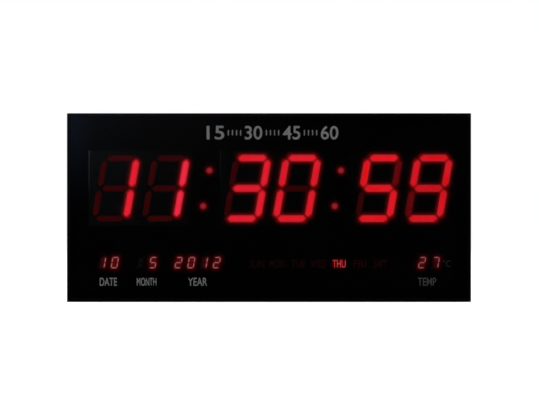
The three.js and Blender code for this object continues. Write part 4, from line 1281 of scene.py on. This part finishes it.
# %% Finish the panel
panel_finish = Finish("moulded_panel")
grain = panel_finish.noise(0.7, 4)
cloud = panel_finish.noise(45, 3).rise(0.35, 0.75) * 0.35
flow = panel_finish.noise(14, 2, (1, 1, 0.25)).rise(0.4, 0.7)
x, _, z = panel_finish.axes()
rubbed = (case_width / 2 - abs(x)).least(case_height / 2 - abs(z - case_height / 2)).rise(14, 2)
plastic = panel_finish.mix(grain.rise(0.3, 0.7), grey(0.011, 0.012), grey(0.019, 0.02))
panel_finish.feed("Base Color", panel_finish.mix(cloud, plastic, grey(0.026, 0.027)))
panel_finish.feed("Roughness", 0.62 - rubbed * 0.14 - flow * 0.06 + grain * 0.08)
panel_finish.bump(grain, 0.05, 0.8)
piece("rear_cover", joined([panel, *pillars]), panel_finish, ["rear_panel"])
print("rear cover", sum(len(part) for part in panel.faces), "faces")

# %% Lay the blank label
LABEL_MARGIN, LABEL_THICK, LABEL_CORNER, LABEL_EDGE = 1.2, 0.12, 2.2, 0.15
recess_floor = panel_back - LABEL_DEEP
foil_low, foil_high = label_low + LABEL_MARGIN, label_high - LABEL_MARGIN
foil_edge = rectangle(*foil_low, *foil_high, LABEL_CORNER, 8)
foil_shape = sheet(
    recess_floor + LABEL_THICK,
    recess_floor,
    [(foil_edge, LABEL_THICK / 2), (drawn(foil_edge, -LABEL_EDGE), 0)],
    spots=lattice(*(foil_low + 1), *(foil_high - 1), 3),
)
foil = Finish("label_foil", Metallic=0.7)
crease = foil.noise(9, 4)
brushed = foil.noise(0.3, 2, (0.02, 1, 1))
silver = foil.mix(brushed, grey(0.42, 0.43), grey(0.55, 0.56))
foil.feed("Base Color", foil.mix(crease.rise(0.45, 0.7) * 0.3, silver, grey(0.36)))
foil.feed("Roughness", brushed * 0.14 + 0.34)
foil.bump(crease, 0.06, 0.5)
piece("blank_label", foil_shape, foil)
print("label", (foil_high - foil_low).round(1))

# %% [markdown]
# ## Screws
# Six countersunk screws with a cross drive hold the panel. A screw is a polar grid, from the middle
# of its head out to the rim and down its cone to the tip. In each quarter some columns follow the
# sides of the cross's arms: at radius r, the side of an arm that is 2w wide lies at the angle
# asin(w / r). So the cross has straight sides, though the grid is round.

# %% Draw the rings of a screw
DRIVE_LONG, DRIVE_WIDE, DRIVE_DEEP, DRIVE_SLOPE = 3.2, 0.7, 0.9, 0.07
SHANK_RADIUS, HEAD_RIM, THREAD_DEEP, THREAD_PITCH = 1.5, 0.1, 0.22, 1.1
QUARTER_COLUMNS = 8


def drive_ring(radius, arm_depth, top_depth):
    """One ring of the head: radius, angles, and depth in the arms and between them."""
    half = min(math.asin(min(DRIVE_WIDE / 2 / radius, math.sqrt(0.5))), math.pi / 4)
    slope = min(half + DRIVE_SLOPE / radius, math.pi / 4)
    angle = [0, half * 0.5, half, slope]
    angle += [math.pi / 2 - a for a in (math.pi / 4, slope, half, half * 0.5)]
    depth = [arm_depth] * 3 + [top_depth] * 3 + [arm_depth] * 2
    turns = np.arange(4)[:, None] * math.pi / 2 + np.array(angle)
    return np.full(4 * QUARTER_COLUMNS, radius), turns.ravel(), np.tile(depth, 4)


def even_ring(radius, depth):
    """One ring with even columns and one depth."""
    count = 4 * QUARTER_COLUMNS
    return np.full(count, radius), np.arange(count) * 2 * math.pi / count, np.full(count, depth)


def screw_rings(length, head_radius):
    """Rings from the middle of the head to the tip, with depths from the head's top."""
    reach, corner = DRIVE_LONG / 2, DRIVE_WIDE / 2 * math.sqrt(2)
    neck = head_radius - SHANK_RADIUS + HEAD_RIM
    rings = [
        even_ring(0, DRIVE_DEEP),
        drive_ring(corner * 0.98, DRIVE_DEEP, DRIVE_DEEP),
        drive_ring(corner * 1.02, DRIVE_DEEP, 0),
        drive_ring(reach * 0.9, DRIVE_DEEP * 0.75, 0),
        drive_ring(reach, 0, 0),
        even_ring(head_radius - HEAD_RIM, 0),
        even_ring(head_radius, HEAD_RIM),
        even_ring(SHANK_RADIUS, neck),
    ]
    for foot in np.arange(neck + THREAD_PITCH, length - THREAD_PITCH, THREAD_PITCH):
        rings += [even_ring(SHANK_RADIUS - THREAD_DEEP, foot - THREAD_PITCH * 0.5)]
        rings += [even_ring(SHANK_RADIUS, foot)]
    return rings + [even_ring(SHANK_RADIUS * 0.5, length), even_ring(0, length)]


# %% Turn the screws
FIRST_TURN, NEXT_TURN = 23, 37  # degrees, so that no two crosses stand alike

steel = Finish("bright_steel", Metallic=1.0)
scratches = steel.noise(0.4, 3, (1, 1, 0.1))
tarnish = steel.noise(5, 3).rise(0.45, 0.7)
steel.feed("Base Color", steel.mix(tarnish * 0.4, grey(0.56, 0.55), (0.34, 0.33, 0.31, 1)))
steel.feed("Roughness", scratches * 0.16 + tarnish * 0.12 + 0.22)
steel.bump(scratches, 0.01, 0.5)

screws = sorted(name for name in nodes if name.startswith("panel_screw"))
for number, node in enumerate(screws):
    low, high = box(node)
    x, z = middle(node)[XZ]
    rings = screw_rings(high[1] - low[1], (high[0] - low[0]) / 2)
    radius, angle, depth = (np.array([ring[i] for ring in rings]) for i in range(3))
    angle = angle + math.radians(FIRST_TURN + NEXT_TURN * number)
    points = [x + radius * np.cos(angle), high[1] - depth, z + radius * np.sin(angle)]
    screw = Shape(np.stack(points, 2).reshape(-1, 3), grid(len(rings), 4 * QUARTER_COLUMNS))
    piece(f"{node}_turned", screw, steel, [node], angle=40)
print("screws", len(screws))

# %% [markdown]
# ## Side controls
# The power socket and four push buttons sit in the right rail. A button is one turned piece: a
# dished cap, a flange that keeps it in, and a stem that reaches its switch. Each button rides on its
# own body, so it moves when its joint does. Plain printed signs beside them say what they do.

# %% Turn the buttons
CAP_RADIUS, CAP_ROUND, CAP_DISH, STEM_RADIUS = 3.2, 0.6, 0.25, 1.5
CAP_LENGTH, FLANGE_THICK, FLANGE_ROUND = 3, 1.2, 0.15
BUTTONS = ("set", "down", "up", "mode")

button_finish = Finish("button_cap")
touch = button_finish.noise(1.2, 3)
spark = button_finish.noise(0.35, 3)
greys = button_finish.mix(spark.rise(0.3, 0.7), grey(0.022, 0.023), grey(0.036, 0.037))
button_finish.feed("Base Color", greys)
button_finish.feed("Roughness", touch * 0.2 + spark * 0.1 + 0.36)
button_finish.bump(spark, 0.02, 0.7)


def cap_profile(back, end, flange):
    """(Radius, X) from the stem's end to the middle of the dished cap. At a share s of the rim's
    radius, X is the end less the dish times (1 - s^2)^1.5."""
    seat = end - CAP_LENGTH
    bend = np.linspace(0, math.pi / 2, 6)
    rim = CAP_RADIUS - CAP_ROUND
    over = zip(rim + CAP_ROUND * np.cos(bend), end - CAP_ROUND * (1 - np.sin(bend)))
    share = np.linspace(0.95, 0, 7)
    dish = zip(rim * share, end - CAP_DISH * (1 - share**2) ** 1.5)
    return [
        (0, back),
        (STEM_RADIUS - FLANGE_ROUND, back),
        (STEM_RADIUS, back + FLANGE_ROUND),
        (STEM_RADIUS, seat - FLANGE_THICK),
        (flange - FLANGE_ROUND, seat - FLANGE_THICK),
        (flange, seat - FLANGE_THICK + FLANGE_ROUND),
        (flange, seat - FLANGE_ROUND),
        (flange - FLANGE_ROUND, seat),
        (CAP_RADIUS, seat),
        *over,
        *dish,
    ]


for button in BUTTONS:
    node = f"{button}_button"
    low, high = box(node)
    profile = cap_profile(low[0], high[0], (high[2] - low[2]) / 2)
    shape = turned(profile, 40, middle(node), axis=0)
    piece(f"{button}_cap", shape, button_finish, [node], node, angle=40)
print("buttons", *BUTTONS)

# %% Print the signs beside the buttons
SIGN_GAP, SIGN_SIZE, SIGN_LINE, SIGN_THICK = 5.2, 1.9, 0.5, 0.05
RING_SIZE, SQUARE_LINE = SIGN_SIZE * 0.8, SIGN_LINE * 1.4
SIGNS = {  # sides, turn, size, and the size of a hole or 0
    "set": (32, 0, RING_SIZE, RING_SIZE - SIGN_LINE),
    "down": (3, -math.pi / 2, SIGN_SIZE, 0),
    "up": (3, math.pi / 2, SIGN_SIZE, 0),
    "mode": (4, math.pi / 4, SIGN_SIZE, SIGN_SIZE - SQUARE_LINE),
}
sign_ink = pale_ink("sign_ink", grey(0.6))
side_face = case_high[0]
for button, (sides, turn, *sizes) in SIGNS.items():
    y, z = middle(f"{button}_button")[1:] - (CAP_RADIUS + SIGN_GAP, 0)
    parts = [(circle(y, z, size, sides, turn), 0) for size in sizes if size]
    sign = sheet(side_face + SIGN_THICK, side_face, parts, len(parts) - 1)
    sign = Shape(sign.points[:, [1, 0, 2]], sign.faces)
    piece(f"{button}_sign", sign, sign_ink)
print("signs", len(SIGNS))

# %% [markdown]
# ## What is inside
# The board, its chips and the moulded blocks can hardly be seen, but a maker who takes the panel off
# finds them finished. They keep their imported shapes. Metal legs and pins are told from their plastic
# by place, and the board has a green mask with slightly raised copper lines under it.


# %% Finish the inner mouldings
def moulding(name, dark, pale, rough):
    """Plain moulded plastic with spark texture, a little uneven."""
    finish = Finish(name)
    grain = finish.noise(0.5, 3)
    uneven = finish.noise(12, 2)
    finish.feed("Base Color", finish.mix(grain.rise(0.3, 0.7), grey(dark), grey(pale)))
    finish.feed("Roughness", grain * 0.1 + uneven * 0.1 + rough)
    finish.bump(grain, 0.02, 0.7)
    return finish


light_housing = moulding("light_housing", 0.006, 0.011, 0.45)
holder_black = moulding("holder_black", 0.012, 0.02, 0.4)
corner_keys = [name for name in nodes if name.startswith("corner_key")]
dress(light_housing, "hours_housing", "minutes_housing", "seconds_housing", "weekday_light_bar")
dress(resin, "weekday_resin")
dress(holder_black, "cell_holder", "buzzer")
dress(steel, "coin_cell", "crystal", *corner_keys)
print("corner keys", len(corner_keys))

# %% Finish the chips and the side parts
CHIP_LIFT, CHIP_HALF_WIDTH, PIN_RADIUS, TAB_SHARE, SOCKET_EDGE = 0.6, 3.2, 1.3, 0.66, 0.2
CHIPS = ("microcontroller", "driver_chip_left", "driver_chip_right")
LOW_PARTS = (*(f"{button}_switch" for button in BUTTONS), "temperature_sensor")


def tinned(metal_share, finish):
    """Black epoxy or plastic that is tinned metal where a share, found by place, is 1."""
    speckle = finish.noise(0.6, 3)
    epoxy = finish.mix(speckle, grey(0.009, 0.01), grey(0.018, 0.019))
    finish.feed("Base Color", finish.mix(metal_share, epoxy, (0.62, 0.61, 0.58, 1)))
    finish.feed("Metallic", metal_share)
    finish.feed("Roughness", 0.5 - metal_share * 0.22 + speckle * 0.1)
    finish.bump(speckle, 0.008, 0.6)
    return finish


for name in CHIPS:
    finish = Finish(f"{name}_finish")
    _, y, z = finish.axes()
    lift = box(name)[0][1] + CHIP_LIFT
    legs = abs(z - middle(name)[2]).rise(CHIP_HALF_WIDTH - 0.06, CHIP_HALF_WIDTH)
    dress(tinned(legs.most(y.rise(lift, lift - 0.05)), finish), name)
for name in LOW_PARTS:
    finish = Finish(f"{name}_finish")
    _, y, _ = finish.axes()
    lift = box(name)[0][1] + CHIP_LIFT
    dress(tinned(y.rise(lift, lift - 0.1), finish), name)
low, high = box("voltage_regulator")
finish = Finish("voltage_regulator_finish")
*_, z = finish.axes()
tab_z = low[2] + TAB_SHARE * (high[2] - low[2])
dress(tinned(z.rise(tab_z - 0.1, tab_z), finish), "voltage_regulator")
finish = Finish("power_socket_finish")
_, y, z = finish.axes()
_, pin_y, pin_z = middle("dc_jack")
off_axis = ((y - pin_y) ** 2 + (z - pin_z) ** 2) ** 0.5
tinned(off_axis.rise(PIN_RADIUS + 0.1, PIN_RADIUS), finish)
softened("power_socket", "dc_jack", finish, SOCKET_EDGE)

# %% Finish the capacitor and the board
STRIPE_WIDTH, CAN_TOP = 1.2, 0.5
TRACK_PITCH, TRACK_WIDTH, TRACK_SWAY = 2.6, 0.7, 18

can = Finish("capacitor_can")
low, high = box("capacitor")
x, y, _ = can.axes()
top = y.rise(high[1] - CAN_TOP, high[1] - CAN_TOP + 0.1)
stripe = (low[0] + STRIPE_WIDTH - x).rise(-0.1, 0.1)
sleeve = can.mix(stripe, (0.012, 0.013, 0.03, 1), grey(0.45, 0.47))
can.feed("Base Color", can.mix(top, sleeve, grey(0.6)))
can.feed("Metallic", top)
can.feed("Roughness", can.noise(0.8) * 0.15 + 0.3)
dress(can, "capacitor")

board = Finish("circuit_board")
x, _, z = board.axes()
sway = board.noise(40, 2) * TRACK_SWAY
lanes = [
    board.put("Math", {"operation": "PINGPONG"}, i0=axis + sway, i1=TRACK_PITCH / 2)
    for axis in (z, x)
]
along_x, along_z = (lane.rise(TRACK_WIDTH, TRACK_WIDTH - 0.12) for lane in lanes)
area = board.noise(30, 1).rise(0.49, 0.51)
tracks = along_x * area + along_z * (1 - area)
green = board.mix(board.noise(3), (0.004, 0.05, 0.018, 1), (0.006, 0.064, 0.024, 1))
board.feed("Base Color", board.mix(tracks * 0.7, green, (0.014, 0.12, 0.045, 1)))
board.feed("Roughness", board.noise(6) * 0.15 + 0.25)
board.bump(tracks, 0.035, 0.8)
dress(board, "main_circuit_board")
print("chips", len(CHIPS), "low parts", len(LOW_PARTS))
